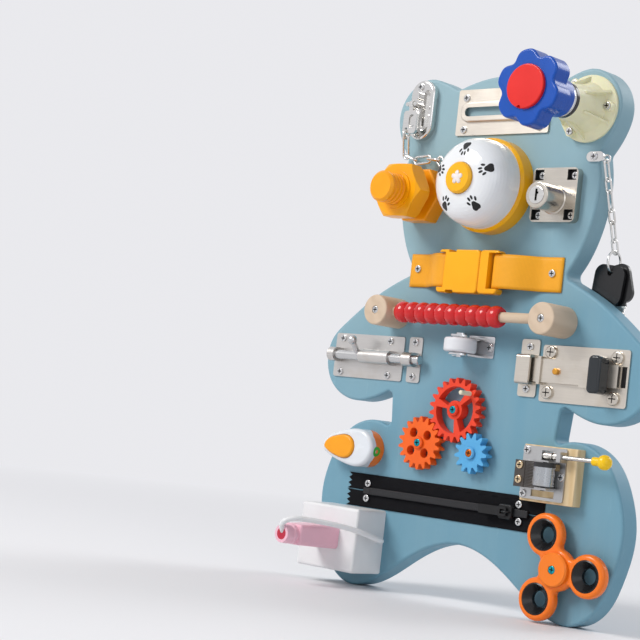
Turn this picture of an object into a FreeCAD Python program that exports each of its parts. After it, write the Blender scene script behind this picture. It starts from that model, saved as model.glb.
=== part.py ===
"""A bear-shaped wooden busy board with its toys, locks, gears and beads, in millimetres.

x runs to the right along the front face, y runs from the front to the back and z runs up.
Heights such as 12 are measured forwards from the board's front face. Everything is
drawn with that face at y = 0, and moved once at the end so that the origin lies on the
floor under the middle of the whole object.
"""
import FreeCAD, Part
import math
import os

V = FreeCAD.Vector
os.makedirs("parts", exist_ok=True)

# Driving sizes
BOARD_THICK = 18.0
EDGE_ROUND = 2.0
FRONT_REACH = 85.2
BACK_REACH = 30.1
ORIGIN_SHIFT = (FRONT_REACH - BACK_REACH) / 2

# Clearances, all radial or per face
RUN = 0.08
LOOSE = 0.3
TOUCH_GAP = 0.35

# Screws
SHANK_R = 1.4
SHANK_DEPTH = 11.0
BACK_SCREW_REACH = 9.0
LONG_SHANK = 38.0
HEAD_R = 2.8
HEAD_HIGH = 1.2
PAN_R = 4.6
PAN_HIGH = 2.4

parts = {}
board_holes = []


# Simple shapes, with heights measured forwards from the front face

def disc(x, z, radius, low, high):
    """A round piece standing on the board."""
    return Part.makeCylinder(radius, high - low, V(x, -low, z), V(0, -1, 0))


def ring(x, z, outer, inner, low, high):
    return disc(x, z, outer, low, high).cut(disc(x, z, inner, low - 1, high + 1))


def slab(x0, x1, z0, z1, low, high):
    """A block given by its edges."""
    return Part.makeBox(x1 - x0, high - low, z1 - z0, V(x0, -high, z0))


def rod_x(x0, x1, high, z, radius):
    return Part.makeCylinder(radius, x1 - x0, V(x0, -high, z), V(1, 0, 0))


def rod_z(x, high, z0, z1, radius):
    return Part.makeCylinder(radius, z1 - z0, V(x, -high, z0), V(0, 0, 1))


def prism(points, low, high):
    """A flat shape of corner points (x, z) with straight sides."""
    corners = [V(x, -low, z) for x, z in points]
    face = Part.Face(Part.makePolygon(corners + corners[:1]))
    return face.extrude(V(0, low - high, 0))


def hexagon(x, z, radius, low, high, turn=0.0):
    angles = [math.radians(turn + 60 * k) for k in range(6)]
    return prism([(x + radius * math.cos(a), z + radius * math.sin(a)) for a in angles], low, high)


def turned(x, z, profile):
    """A piece turned about the line through (x, z), from points (radius, height)."""
    corners = [V(x + r, -h, z) for r, h in profile]
    face = Part.Face(Part.makePolygon(corners + corners[:1]))
    return face.revolve(V(x, 0, z), V(0, 1, 0), 360)


def stadium(x0, x1, z0, z1, low, high):
    """A slab whose short ends are half round."""
    radius = min(x1 - x0, z1 - z0) / 2
    if x1 - x0 > z1 - z0:
        middle = slab(x0 + radius, x1 - radius, z0, z1, low, high)
        ends = [(x0 + radius, z0 + radius), (x1 - radius, z0 + radius)]
    else:
        middle = slab(x0, x1, z0 + radius, z1 - radius, low, high)
        ends = [(x0 + radius, z0 + radius), (x0 + radius, z1 - radius)]
    return join([middle] + [disc(x, z, radius, low, high) for x, z in ends])


def join(shapes):
    return shapes[0].fuse(shapes[1:]).removeSplitter()


def cut_all(shape, tools):
    return shape.cut(tools)


def rounded(shape, radius, wanted):
    """The shape with the chosen edges rounded; wanted(edge) says which."""
    return shape.makeFillet(radius, [edge for edge in shape.Edges if wanted(edge)])


def along(direction):
    """Picks the straight edges that run in one direction."""
    def pick(edge):
        if edge.Curve.TypeId != "Part::GeomLine":
            return False
        return abs(abs(edge.Curve.Direction.dot(direction)) - 1) < 1e-6
    return pick


def at_height(height):
    """Picks the edges that lie at one height in front of the board."""
    def pick(edge):
        box = edge.BoundBox
        return abs(box.YMin + height) < 1e-4 and abs(box.YMax + height) < 1e-4
    return pick


def corner_round(shape, radius):
    """Rounds the upright corners of a plate that lies on the board."""
    return rounded(shape, radius, along(V(0, 1, 0)))


def polar(x, z, radius, degrees):
    a = math.radians(degrees)
    return x + radius * math.cos(a), z + radius * math.sin(a)


def wire_tube(edges, radius):
    """Round wire along a path of edges."""
    path = Part.Wire(edges)
    start = edges[0].valueAt(edges[0].FirstParameter)
    tangent = edges[0].tangentAt(edges[0].FirstParameter)
    section = Part.Wire(Part.makeCircle(radius, start, tangent))
    return path.makePipeShell([section], True, False)


def routed(points):
    """Straight runs joined by tangent arcs, with each bend's radius from its shorter run."""
    edges = []
    radii = []
    start = points[0]
    for before, corner, after in zip(points, points[1:], points[2:]):
        run_in = corner.sub(before)
        run_out = after.sub(corner)
        half_turn = run_in.getAngle(run_out) / 2
        reach = 0.45 * min(run_in.Length, run_out.Length)
        radii.append(reach / math.tan(half_turn))
        unit_in = V(run_in).normalize()
        unit_out = V(run_out).normalize()
        enter = corner.sub(unit_in.multiply(reach))
        leave = corner.add(unit_out.multiply(reach))
        inward = enter.add(leave).multiply(0.5).sub(corner)
        to_centre = reach / math.sin(half_turn) / math.tan(half_turn) * math.sin(half_turn)
        centre_far = math.hypot(reach, to_centre)
        middle = corner.add(inward.normalize().multiply(centre_far - radii[-1]))
        edges.append(Part.makeLine(start, enter))
        edges.append(Part.Arc(enter, middle, leave).toShape())
        start = leave
    edges.append(Part.makeLine(start, points[-1]))
    return edges, radii


def hole_in_board(x, z, radius, low, high):
    board_holes.append(disc(x, z, radius, low, high))


def wood_screw(x, z, seat, head_r=HEAD_R, head_high=HEAD_HIGH, shank_depth=SHANK_DEPTH):
    """A cross-head wood screw whose head lies on the height called seat."""
    head = disc(x, z, head_r, seat, seat + head_high)
    head = rounded(head, 0.45 * head_high, at_height(seat + head_high))
    shank = disc(x, z, SHANK_R, seat - shank_depth, seat)
    body = join([head, shank])
    slot = 0.42 * head_r
    deep = seat + 0.45 * head_high
    cross = [slab(x - 1.5 * slot, x + 1.5 * slot, z - 0.4, z + 0.4, deep, seat + head_high + 1),
             slab(x - 0.4, x + 0.4, z - 1.5 * slot, z + 1.5 * slot, deep, seat + head_high + 1)]
    if seat < shank_depth:
        hole_in_board(x, z, SHANK_R, seat - shank_depth, 1)
    return cut_all(body, cross)


def back_screw(x, z, reach):
    """A wood screw driven from behind the board into a fitting, to a height called reach."""
    screw = wood_screw(x, z, BOARD_THICK, shank_depth=BOARD_THICK + reach)
    screw.rotate(V(x, 0, z), V(0, 0, 1), 180)
    hole_in_board(x, z, SHANK_R, -BOARD_THICK - 1, 1)
    return screw


def screw_row(places, seat):
    return [wood_screw(x, z, seat) for x, z in places]


def drilled(shape, places, radius=SHANK_R, low=-1.0, high=40.0):
    """The shape with a screw hole at each place."""
    return cut_all(shape, [disc(x, z, radius, low, high) for x, z in places])


small_screws = []
pan_screws = []
long_screws = []


# The board: a bear with ears, head, arms and feet

EAR_ROOT = (46.0, 380.0)
EAR_NOTCH = (88.5, 328.5)
NECK = (69.0, 240.5)
ARMPIT = (79.0, 151.5)
HIP = (76.0, 120.5)
HEAD_TOP = (0.0, 389.0)
EAR = [EAR_ROOT, (58.5, 386.0), (75.0, 390.0), (94.5, 380.8), (102.7, 361.5), (99.3, 346.0), EAR_NOTCH]
CHEEK = [EAR_NOTCH, (91.6, 303.0), (86.5, 273.5), (80.0, 257.0), NECK]
ARM = [NECK, (104.0, 223.0), (134.5, 200.0), (147.3, 186.5), (150.5, 172.0), (143.5, 152.5),
       (118.0, 140.0), (98.0, 142.8), ARMPIT]
LEG = [HIP, (98.0, 126.2), (118.0, 118.0), (134.0, 94.5), (140.2, 68.0), (134.5, 36.0), (121.5, 10.5),
       (104.0, 0.45), (74.0, 8.2), (47.0, 26.0), (23.0, 38.5), (0.0, 43.0)]


def smooth_line(points):
    """A smooth curve through outline points (x, z) on the board's face."""
    curve = Part.BSplineCurve()
    curve.interpolate([V(x, 0, z) for x, z in points])
    return curve.toShape()


def outline_edges():
    """The bear's outline: the right side's stretches, mirrored for the left."""
    edges = []
    for side in (1, -1):
        for stretch in (EAR, CHEEK, ARM):
            edges.append(smooth_line([(side * x, z) for x, z in stretch]))
        edges.append(Part.makeLine(V(side * ARMPIT[0], 0, ARMPIT[1]), V(side * HIP[0], 0, HIP[1])))
    edges.append(smooth_line(LEG + [(-x, z) for x, z in LEG[-2::-1]]))
    top_arc = Part.Arc(V(-EAR_ROOT[0], 0, EAR_ROOT[1]), V(HEAD_TOP[0], 0, HEAD_TOP[1]),
                       V(EAR_ROOT[0], 0, EAR_ROOT[1]))
    edges.append(top_arc.toShape())
    return edges


def near(places, tolerance=0.3):
    """Picks the edges that cross the board at given outline corners, on both sides."""
    def pick(edge):
        box = edge.BoundBox
        if box.YLength < 1:
            return False
        centre = box.Center
        for x, z in places:
            if abs(abs(centre.x) - x) < tolerance and abs(centre.z - z) < tolerance:
                return True
        return False
    return pick


def make_board():
    wire = Part.Wire(Part.__sortEdges__(outline_edges()))
    board = Part.Face(wire).extrude(V(0, BOARD_THICK, 0))
    board = rounded(board, 5.0, near([NECK]))
    board = rounded(board, 4.0, near([ARMPIT, HIP]))
    board = rounded(board, 5.0, near([EAR_NOTCH, EAR_ROOT]))
    board = rounded(board, EDGE_ROUND, at_height(0.0))
    return rounded(board, EDGE_ROUND, at_height(-BOARD_THICK))


# Tap on the right ear

TAP = (76.5, 360.5)
TAP_STEM_R = 5.9
KNOB_BACK = 36.0 + TOUCH_GAP
KNOB_LOBES_LOW = 59.0
KNOB_FRONT = 74.0
KNOB_TOP = 76.5
KNOB_LOBES = 6
LOBE_BREADTH = 2.0
KNOB_TURN = 39.0


def lobed_disc(x, z, mean, wave, lobes, turn, low, high):
    """A disc whose rim swells into broad lobes with narrow dips between them."""
    curve = Part.BSplineCurve()
    points = []
    steps = 12 * lobes
    for k in range(steps):
        degrees = 360.0 * k / steps
        dip = (1 - math.cos(math.radians(lobes * (degrees - turn)))) / 2
        radius = mean + wave * (1 - 2 * dip ** LOBE_BREADTH)
        px, pz = polar(x, z, radius, degrees)
        points.append(V(px, -low, pz))
    curve.interpolate(points, PeriodicFlag=True)
    return Part.Face(Part.Wire(curve.toShape())).extrude(V(0, low - high, 0))


def make_tap():
    x, z = TAP
    flange = turned(x, z, [(0, 0), (24.1, 0), (24.1, 2.0), (23.4, 2.6), (21, 4.2), (18.0, 6), (14.6, 14),
                           (13.2, 24), (12.4, 30), (0, 30)])
    fins = []
    bosses = []
    places = [polar(x, z, 19.8, a) for a in (0, 120, 240)]
    for k in range(6):
        corners = [V(x + r, -h, z - 0.8) for r, h in ((12, 2), (22.4, 2), (22.4, 4.5), (18.5, 12), (14.2, 23), (12, 23))]
        fin = Part.Face(Part.makePolygon(corners + corners[:1])).extrude(V(0, 0, 1.6))
        fin.rotate(V(x, 0, z), V(0, 1, 0), 30 + 60 * k)
        fins.append(fin)
    for px, pz in places:
        bosses.append(disc(px, pz, 3.7, 0.5, 7.4))
    flange = join([flange] + fins + bosses)
    hollow = turned(x, z, [(0, -1), (15.5, -1), (15.5, 2.5), (10.5, 24), (0, 24)])
    sleeve = disc(x, z, TAP_STEM_R + 2.6, 0, 27)
    flange = join([flange.cut(hollow), sleeve] + [disc(px, pz, 3.7, 0, 7.4) for px, pz in places])
    flange = flange.cut(disc(x, z, TAP_STEM_R + RUN, -1, 31))
    flange = drilled(flange, places, HEAD_R + LOOSE, 7.4)
    parts["ear_flange"] = drilled(flange, places)
    small_screws.extend(screw_row(places, 7.4))
    collar = turned(x, z, [(TAP_STEM_R + 0.4, 30), (12.6, 30), (12.6, 32.9), (11.9, 33.4),
                           (11.9, 35.6), (11.5, 36), (TAP_STEM_R + 0.4, 36)])
    parts["tap_collar"] = collar
    hub = turned(x, z, [(0, 4), (TAP_STEM_R, 4), (TAP_STEM_R, KNOB_BACK), (12.6, KNOB_BACK),
                        (13.6, KNOB_BACK + 1), (13.6, 52), (17, 62), (0, 62)])
    lobes = lobed_disc(x, z, 24.3, 2.4, KNOB_LOBES, KNOB_TURN, KNOB_LOBES_LOW, KNOB_FRONT)
    lobes = rounded(lobes, 1.6, at_height(KNOB_FRONT))
    knob = join([hub, lobes])
    seat = disc(x, z, 15.4, KNOB_FRONT - 1.5, KNOB_TOP)
    parts["tap_knob"] = knob.cut(seat)
    cap = rounded(seat, 0.8, at_height(KNOB_TOP))
    notch = disc(x - 3.5, z - 14.6, 1.6, KNOB_FRONT + 0.4, KNOB_TOP + 1)
    parts["tap_cap"] = cap.cut(notch)


# Slotted door-chain track across the top of the head

TRACK_Z = 362.0
TRACK_HALF = 17.4
TRACK_SCREWS = [(-35, TRACK_Z + 11), (-35, TRACK_Z - 13), (35, TRACK_Z + 11), (35, TRACK_Z - 13)]


def make_track():
    plate = corner_round(slab(-43, 43, TRACK_Z - TRACK_HALF, TRACK_Z + TRACK_HALF, 0, 1.5), 1.5)
    channel = stadium(-38.5, 38.5, TRACK_Z - 7.6, TRACK_Z + 7.6, 0, 4.0)
    channel = rounded(channel, 1.2, at_height(4.0))
    inside = stadium(-37.3, 37.3, TRACK_Z - 6.2, TRACK_Z + 6.2, -1, 2.9)
    slot = stadium(-34, 34, TRACK_Z - 3.4, TRACK_Z + 3.4, 0, 5)
    keyhole = disc(31, TRACK_Z, 5.0, 0, 5)
    plate = join([plate, channel]).cut([inside, slot, keyhole])
    parts["track_plate"] = drilled(plate, TRACK_SCREWS)
    small_screws.extend(screw_row(TRACK_SCREWS, 1.5))


# Door chain on the left ear

CHAIN_PLATE = (-76.0, 365.0)
CHAIN_PIN = (-79.0, 12.5, 368.0)
CHAIN_BAR_R = 1.3
CHAIN_X = -82.0
CHAIN_JOINTS = [V(-82.0, -12.5, 341.6), V(-84.6, -7.5, 329.6), V(-73.2, -6.5, 325.6), V(-62.4, -6.8, 326.4),
                V(-50.2, -7.0, 325.2), V(-42.4, -6.6, 315.5)]
DOOR_LINK = (2.7, 0.95)
KEY_LINK = (2.2, 0.8)


def link(first, second, normal, size):
    """A chain link of round wire around two bow centres, lying square to the normal."""
    half, wire = size
    run = V(second.sub(first)).normalize()
    side = run.cross(normal).normalize().multiply(half)
    bow = V(run).multiply(half)
    edges = [Part.makeLine(first.add(side), second.add(side)),
             Part.Arc(second.add(side), second.add(bow), second.sub(side)).toShape(),
             Part.makeLine(second.sub(side), first.sub(side)),
             Part.Arc(first.sub(side), first.sub(bow), first.add(side)).toShape()]
    return wire_tube(edges, wire)


def chain(joints, flat_normal, size):
    """Links between joints, by turns flat and upright; a flat link's bows sit on its joints."""
    links = []
    flat = True
    for start, end in zip(joints, joints[1:]):
        run = V(end.sub(start)).normalize()
        if flat:
            links.append(link(start, end, flat_normal, size))
        else:
            inset = V(run).multiply(size[0])
            links.append(link(start.add(inset), end.sub(inset), run.cross(flat_normal), size))
        flat = not flat
    return links


def wire_ring(centre, axis, radius, wire):
    return Part.makeTorus(radius, wire, centre, axis)


def make_chain():
    x, z = CHAIN_PLATE
    plate = rounded(stadium(x - 11.5, x + 11.5, z - 23, z + 23, 0, 6), 1.8, at_height(6))
    plate = plate.cut(stadium(x + 2, x + 8, z - 15, z + 15, 1.2, 7))
    screw_at = [(x - 4, z - 14), (x - 2, z + 17.6)]
    pin_x, pin_h, pin_z = CHAIN_PIN
    legs = [disc(pin_x + dx, pin_z, CHAIN_BAR_R + 0.3, 5, pin_h + 1.9) for dx in (-3.8, 3.8)]
    bar = rod_x(pin_x - 3.8, pin_x + 3.8, pin_h, pin_z, CHAIN_BAR_R)
    knuckle = disc(pin_x, z + 10.5, 3.0, 5, 9.5)
    parts["chain_plate"] = drilled(join([plate, bar, knuckle] + legs), screw_at, high=5.9)
    for px, pz in screw_at:
        small_screws.append(wood_screw(px, pz, 6.0))
    parts["chain_plate"] = drilled(parts["chain_plate"], screw_at)
    tongue = corner_round(slab(-85.6, -72.6, 345.5, 363.0, 11.2, 13.8), 2.5)
    neck = slab(pin_x - 1.9, pin_x + 1.9, 362.0, pin_z, 11.2, 13.8)
    eye = rod_x(pin_x - 1.9, pin_x + 1.9, pin_h, pin_z, 2.7)
    tongue = join([tongue, neck, eye])
    window = stadium(-80.0, -74.4, 350.0, 360.0, 10, 15)
    low_eye = disc(CHAIN_X, 348.5, 1.5, 10, 15)
    pivot = rod_x(-90, -70, pin_h, pin_z, CHAIN_BAR_R + 0.12)
    tongue = tongue.cut([window, low_eye, pivot])
    hook = wire_ring(V(CHAIN_X, -12.5, 345.1), V(1, 0, 0), 3.4, 0.9)
    links = chain(CHAIN_JOINTS, V(0, 1, 0), DOOR_LINK)
    last = CHAIN_JOINTS[-1]
    stud = turned(last.x, last.z, [(0, 3.0), (3.6, 3.0), (3.6, 4.2), (1.4, 4.6), (1.4, 8.4), (2.5, 8.4),
                                   (2.2, 9.6), (0, 9.6)])
    parts["door_chain"] = Part.Compound([tongue, hook] + links + [stud])


# Toy nut and bolt

BOLT = (-65.0, 298.0)
HEX_R = 22.6
HEX_HIGH = 13.6
STUD_R = 11.6
STUD_TOP = 54.0
WASHER_LOW = HEX_HIGH + 7.6
WASHER_THICK = 1.2
NUT_LOW = WASHER_LOW + WASHER_THICK + 0.1
NUT_HIGH = NUT_LOW + 14.4
THREAD_PITCH = 8.0


def make_toy_bolt():
    x, z = BOLT
    base = hexagon(x, z, HEX_R, 0, HEX_HIGH)
    base = rounded(base, 1.4, lambda edge: at_height(HEX_HIGH)(edge) or along(V(0, 1, 0))(edge))
    profile = [(0, HEX_HIGH - 1), (STUD_R, HEX_HIGH - 1)]
    start = HEX_HIGH + 1
    while start + THREAD_PITCH / 2 < STUD_TOP - 3:
        profile += [(STUD_R, start + 1.2), (STUD_R - 0.9, start + 1.9), (STUD_R - 0.9, start + 2.7),
                    (STUD_R, start + 3.4)]
        start += THREAD_PITCH / 2
    profile += [(STUD_R, STUD_TOP - 1.8), (STUD_R - 1.8, STUD_TOP), (0, STUD_TOP)]
    stud = turned(x, z, profile)
    pilot = disc(x, z, SHANK_R, -1, BACK_SCREW_REACH)
    parts["toy_bolt"] = join([base, stud]).cut(pilot)
    small_screws.append(back_screw(x, z, BACK_SCREW_REACH))
    parts["nut_washer"] = ring(x, z, 16.5, STUD_R + RUN, WASHER_LOW, WASHER_LOW + WASHER_THICK)
    nut = hexagon(x, z, HEX_R, NUT_LOW, NUT_HIGH)
    nut = nut.common(turned(x, z, [(0, NUT_LOW), (HEX_R - 1.8, NUT_LOW), (HEX_R + 0.1, NUT_LOW + 1.8),
                                   (HEX_R + 0.1, NUT_HIGH - 2.6), (HEX_R - 3.4, NUT_HIGH), (0, NUT_HIGH)]))
    boss = disc(x, z, 14.4, NUT_HIGH - 1, NUT_HIGH + 1.0)
    parts["toy_nut"] = join([nut, boss]).cut(disc(x, z, STUD_R + RUN, 0, 60))


# Press bell

BELL = (-0.5, 305.0)
BELL_TRAVEL = 3.0
BELL_BASE_R = 35.0
BELL_BASE_HIGH = 13.5
DOME_R = 32.8
DOME_TOP = 42.0
DOME_WALL = 1.8
DOME_SHOULDER = 3.1


def dome_line(radius, high):
    """Half the dome's outline, a blunt curve from its rim to its top."""
    line = []
    for k in range(15):
        a = math.radians(90.0 * k / 14)
        across = radius * math.cos(a) ** (2 / DOME_SHOULDER) if k < 14 else 0.0
        line.append((across, BELL_BASE_HIGH + high * math.sin(a) ** (2 / DOME_SHOULDER)))
    return line


def make_bell():
    x, z = BELL
    base = turned(x, z, [(0, 0), (BELL_BASE_R, 0), (BELL_BASE_R, BELL_BASE_HIGH - 2),
                         (BELL_BASE_R - 1.4, BELL_BASE_HIGH), (0, BELL_BASE_HIGH)])
    well = disc(x, z, DOME_R - DOME_WALL - 2, 2.5, BELL_BASE_HIGH + 1)
    tower = disc(x, z, 6.0, 2, 17.0)
    pocket = disc(x, z, 3.2, 6.0, 18)
    screws = [polar(x, z, 16.0, a) for a in (90, 210, 330)]
    parts["bell_base"] = drilled(join([base.cut(well), tower]).cut(pocket), screws)
    small_screws.extend(screw_row(screws, 2.5))
    high = DOME_TOP - BELL_BASE_HIGH
    inner = dome_line(DOME_R - DOME_WALL, high - DOME_WALL)
    dome = turned(x, z, dome_line(DOME_R, high) + inner[::-1])
    parts["bell_dome"] = dome.cut(disc(x, z, 11.5 + LOOSE, 20, 50))
    button = turned(x, z, [(0, 32), (11.5, 32), (11.5, 43.4), (10.1, 44.8), (0, 44.8)])
    stem = disc(x, z, 2.9, 21.0 - BELL_TRAVEL, 33)
    skirt = disc(x, z, 13.6, 31.0 - 1.6, 32.6)
    hammer = slab(x - 1.5, x + 19.0, z - 2, z + 2, 29.0, 30.6)
    parts["bell_button"] = join([button, stem, skirt, hammer])
    parts["bell_spring"] = coil_spring(x, z, 4.6, 0.5, 17.6, 28.4, 4)


def coil_spring(x, z, radius, wire, low, high, turns):
    """A helical spring around the line through (x, z), between two heights."""
    count = 6 * turns
    points = []
    for k in range(count + 1):
        px, pz = polar(x, z, radius, 60.0 * k)
        points.append(V(px, -low - (high - low) * k / count, pz))
    return wire_tube(routed(points)[0], wire)


# Cam lock and the keys that belong to it

LOCK = (58.0, 295.0)
LOCK_SCREWS = [(43.6, 312.8), (71.9, 312.8), (43.6, 284.2), (71.9, 284.2)]
LOCK_PLUG_R = 6.4


def make_lock():
    x, z = LOCK
    plate = corner_round(slab(38, 77, 279, 318, 0, 6), 4.0)
    corners = []
    for px, pz in LOCK_SCREWS:
        corners.append(slab(px - 4.1, px + 3.5, pz - 3.8, pz + 3.8, 2, 7))
    housing = disc(x, z, 9.5, 0, 26.4)
    step = turned(x, z, [(0, 0), (10.6, 0), (10.6, 6.6), (9.9, 7.2), (0, 7.2)])
    body = join([plate.cut(corners), housing, step])
    body = rounded(body, 0.8, at_height(26.4))
    body = body.cut(disc(x, z, LOCK_PLUG_R + RUN, 4, 28))
    parts["lock_body"] = drilled(body, LOCK_SCREWS)
    small_screws.extend(screw_row(LOCK_SCREWS, 2))
    plug = disc(x, z, LOCK_PLUG_R, 4.4, 27)
    plug = rounded(plug, 0.5, at_height(27))
    keyway = [slab(x - 0.9, x + 0.9, z - 4.2, z + 4.2, 12, 28), slab(x - 0.9, x + 1.9, z + 0.6, z + 2.2, 12, 28)]
    parts["lock_plug"] = plug.cut(keyway)


KEY_HOOK_SCREW = (85.6, 326.2)
KEY_EYE = V(96.2, -1.2, 324.2)
KEY_EYE_R = 2.7
KEY_RING = V(95.6, 21.6, 255.0)
KEY_RING_R = 7.6
KEY_RING_WIRE = 0.9
KEY_LINKS = 6


def make_key_hook():
    x, z = KEY_HOOK_SCREW
    strap = stadium(x - 6.5, KEY_EYE.x - KEY_EYE_R, z - 3.6, z + 3.6, 0, 1.6)
    eye = wire_ring(KEY_EYE, V(0, 1, 0), KEY_EYE_R, 0.8)
    parts["key_hook"] = join([drilled(strap, [(x, z)]), eye])
    small_screws.append(wood_screw(x, z, 1.6))


def key(head_centre, turn):
    """A flat key hanging down, with a black square-shouldered head."""
    head = corner_round(slab(-12.5, 12.5, -27, 1.0, 0, 2.6), 7.0)
    shoulder = slab(-5, 5, -31, -26, 0.3, 2.3)
    blade = slab(-3.4, 3.4, -50, -30, 0.3, 2.3)
    bits = [slab(2.0, 4, -35 - 4.2 * k, -33 - 4.2 * k, -1, 4) for k in range(4)]
    eye = disc(0, -4.2, 2.4, -1, 4)
    piece = join([head, shoulder, blade.cut(bits)]).cut(eye)
    piece.translate(V(0, 1.3, 4.2))
    piece.rotate(V(0, 0, 0), V(0, 1, 0), turn)
    piece.translate(head_centre)
    return piece


def make_keys():
    top = KEY_EYE.add(V(0, 0, -KEY_EYE_R))
    ring_top = KEY_RING.add(V(0, 0, KEY_RING_R))
    run = ring_top.sub(top)
    bottom = ring_top.add(V(run).normalize().multiply(KEY_LINK[0]))
    run = bottom.sub(top)
    joints = [top.add(V(run).multiply(k / KEY_LINKS)) for k in range(KEY_LINKS + 1)]
    loop = wire_ring(KEY_RING, V(1, 0, 0), KEY_RING_R, KEY_RING_WIRE)
    parts["key_chain"] = Part.Compound(chain(joints, V(1, 0, 0), KEY_LINK) + [loop])
    hang = KEY_RING.add(V(0, 0, -KEY_RING_R))
    parts["keys"] = Part.Compound([key(hang.add(V(-0.7, -1.6, 0)), 6.0), key(hang.add(V(0.7, 1.7, 0)), -16.0)])


# Webbing strap with its buckle

STRAP_Z = (229.5, 254.5)
STRAP_SCREWS = [(-64.5, 243.2), (60.4, 242.8)]
BUCKLE = (-34.5, 22.0)
BUCKLE_BARS = (-31.6, 17.0)
BUCKLE_HIGH = (6.4, 15.0)
BAR_HIGH = 9.5
BAR_R = 1.5
STRAP_THICK = 1.4
STRAP_RISE = BAR_HIGH + BAR_R + 0.15


def webbing(x0, bar_x):
    """A flat strap that leaves the board, rises over the front of the buckle's bar and loops round it."""
    z0, z1 = STRAP_Z
    turn = 1 if bar_x > x0 else -1
    rise_from = x0 + turn * 14
    rise_to = bar_x - turn * 4
    low = [(x0, 0.0), (rise_from, 0.0), (rise_to, STRAP_RISE), (bar_x, STRAP_RISE)]
    high = [(x, h + STRAP_THICK) for x, h in low]
    corners = [V(x, -h, z0) for x, h in low + high[::-1]]
    face = Part.Face(Part.makePolygon(corners + corners[:1]))
    strap = face.extrude(V(0, 0, z1 - z0))

    def at_bend(edge):
        x = edge.BoundBox.Center.x
        return along(V(0, 0, 1))(edge) and min(abs(x - rise_from), abs(x - rise_to)) < 0.1

    strap = rounded(strap, 1.2, at_bend)
    loop = rod_z(bar_x, BAR_HIGH, z0, z1, BAR_R + 0.15 + STRAP_THICK)
    return join([strap, loop]).cut(rod_z(bar_x, BAR_HIGH, z0 - 1, z1 + 1, BAR_R + 0.15))


def make_strap():
    z0, z1 = STRAP_Z
    left, right = BUCKLE
    left_bar, right_bar = BUCKLE_BARS
    parts["strap_left"] = drilled(webbing(-72, left_bar), STRAP_SCREWS[:1])
    parts["strap_right"] = drilled(webbing(69, right_bar), STRAP_SCREWS[1:])
    small_screws.extend(screw_row(STRAP_SCREWS, STRAP_THICK))
    low, high = BUCKLE_HIGH
    gaps = [slab(left - 1, left_bar + 3.6, z0 - 0.6, z1 + 0.6, 0, 20),
            slab(right_bar - 4.6, right + 1, z0 - 0.6, z1 + 0.6, 0, 20)]
    bars = [rod_z(bar, BAR_HIGH, z0 - 2, z1 + 2, BAR_R) for bar in (left_bar, right_bar)]
    socket = corner_round(slab(left, 4.0, 225, 257, low, high), 3.0)
    socket = rounded(socket, 1.2, lambda edge: at_height(low)(edge) or at_height(high)(edge))
    cavity = slab(left + 13, 5, 228, 254, low + 1.8, high - 1.8)
    windows = [slab(-17, -9, 222, 229, low + 2, high - 2), slab(-17, -9, 253, 260, low + 2, high - 2),
               slab(-25, -18, 222, 227, 0, 20), slab(-25, -18, 255, 260, 0, 20)]
    parts["buckle_socket"] = join([socket.cut([cavity, gaps[0]] + windows), bars[0]])
    frame = corner_round(slab(4.3, right, 225, 257, low, high), 3.0)
    frame = rounded(frame, 1.2, lambda edge: at_height(low)(edge) or at_height(high)(edge))
    inner_low, inner_high = low + 2.1, high - 2.1
    prongs = [slab(-20, 6, 238, 244, inner_low, inner_high)]
    for inner, tip in ((230.5, 228.4), (247.3, 249.2)):
        prongs.append(slab(-19, 6, inner, inner + 4.2, inner_low, inner_high))
        prongs.append(slab(-19, -10, tip, tip + 4.4, inner_low, inner_high))
    parts["buckle_tongue"] = join([frame.cut(gaps[1]), bars[1]] + prongs)


# Abacus beads

POST_Z = 208.5
POST_L = (-80.0, POST_Z)
POST_R = (74.0, POST_Z)
POST_RADIUS = 11.4
POST_HIGH = 28.0
DOWEL_HIGH = 18.0
DOWEL_R = 3.7
BEAD_R = 8.0
BEAD_PITCH = 9.7
BEADS = 10
BEAD_HALF = BEAD_PITCH / 2 - 0.1
BEAD_START = -59.6


def make_abacus():
    posts = []
    for x, z in (POST_L, POST_R):
        post = rounded(disc(x, z, POST_RADIUS, 0, POST_HIGH), 1.2, at_height(POST_HIGH))
        post = post.cut(rod_x(POST_L[0] - 3, POST_R[0] + 3, DOWEL_HIGH, z, DOWEL_R))
        sink = disc(x, z, HEAD_R + 0.2, POST_HIGH - HEAD_HIGH, POST_HIGH + 1)
        posts.append(post.cut([sink, disc(x, z, SHANK_R, -1, 40)]))
        long_screws.append(wood_screw(x, z, POST_HIGH - HEAD_HIGH, shank_depth=LONG_SHANK))
    parts["abacus_posts"] = Part.Compound(posts)
    dowel = rod_x(POST_L[0] - 3, POST_R[0] + 3, DOWEL_HIGH, POST_L[1], DOWEL_R)
    parts["abacus_dowel"] = dowel.cut([disc(x, z, SHANK_R, -1, 40) for x, z in (POST_L, POST_R)])
    beads = []
    for k in range(BEADS):
        x = BEAD_START + k * BEAD_PITCH
        ball = Part.makeSphere(BEAD_R, V(x, -DOWEL_HIGH, POST_L[1]))
        ball = ball.common(slab(x - BEAD_HALF, x + BEAD_HALF, POST_Z - 20, POST_Z + 20, 0, 40))
        beads.append(ball.cut(rod_x(x - 9, x + 9, DOWEL_HIGH, POST_L[1], DOWEL_R + 0.35)))
    parts["beads"] = Part.Compound(beads)


# Round-rod barrel bolt on the left arm

ROD_Z = 174.0
ROD_HIGH = 7.2
ROD_R = 3.6
HANDLE_X = -110.4
HANDLE_LONG = 14.5
HANDLE_LEAN = math.radians(38)
ROD_SCREWS = [(-133.5, 187.0), (-84.3, 187.0), (-133.5, 161.0), (-84.3, 161.0)]
KEEPER_SCREWS = [(-59.2, 187.6), (-59.2, 161.4)]


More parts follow.
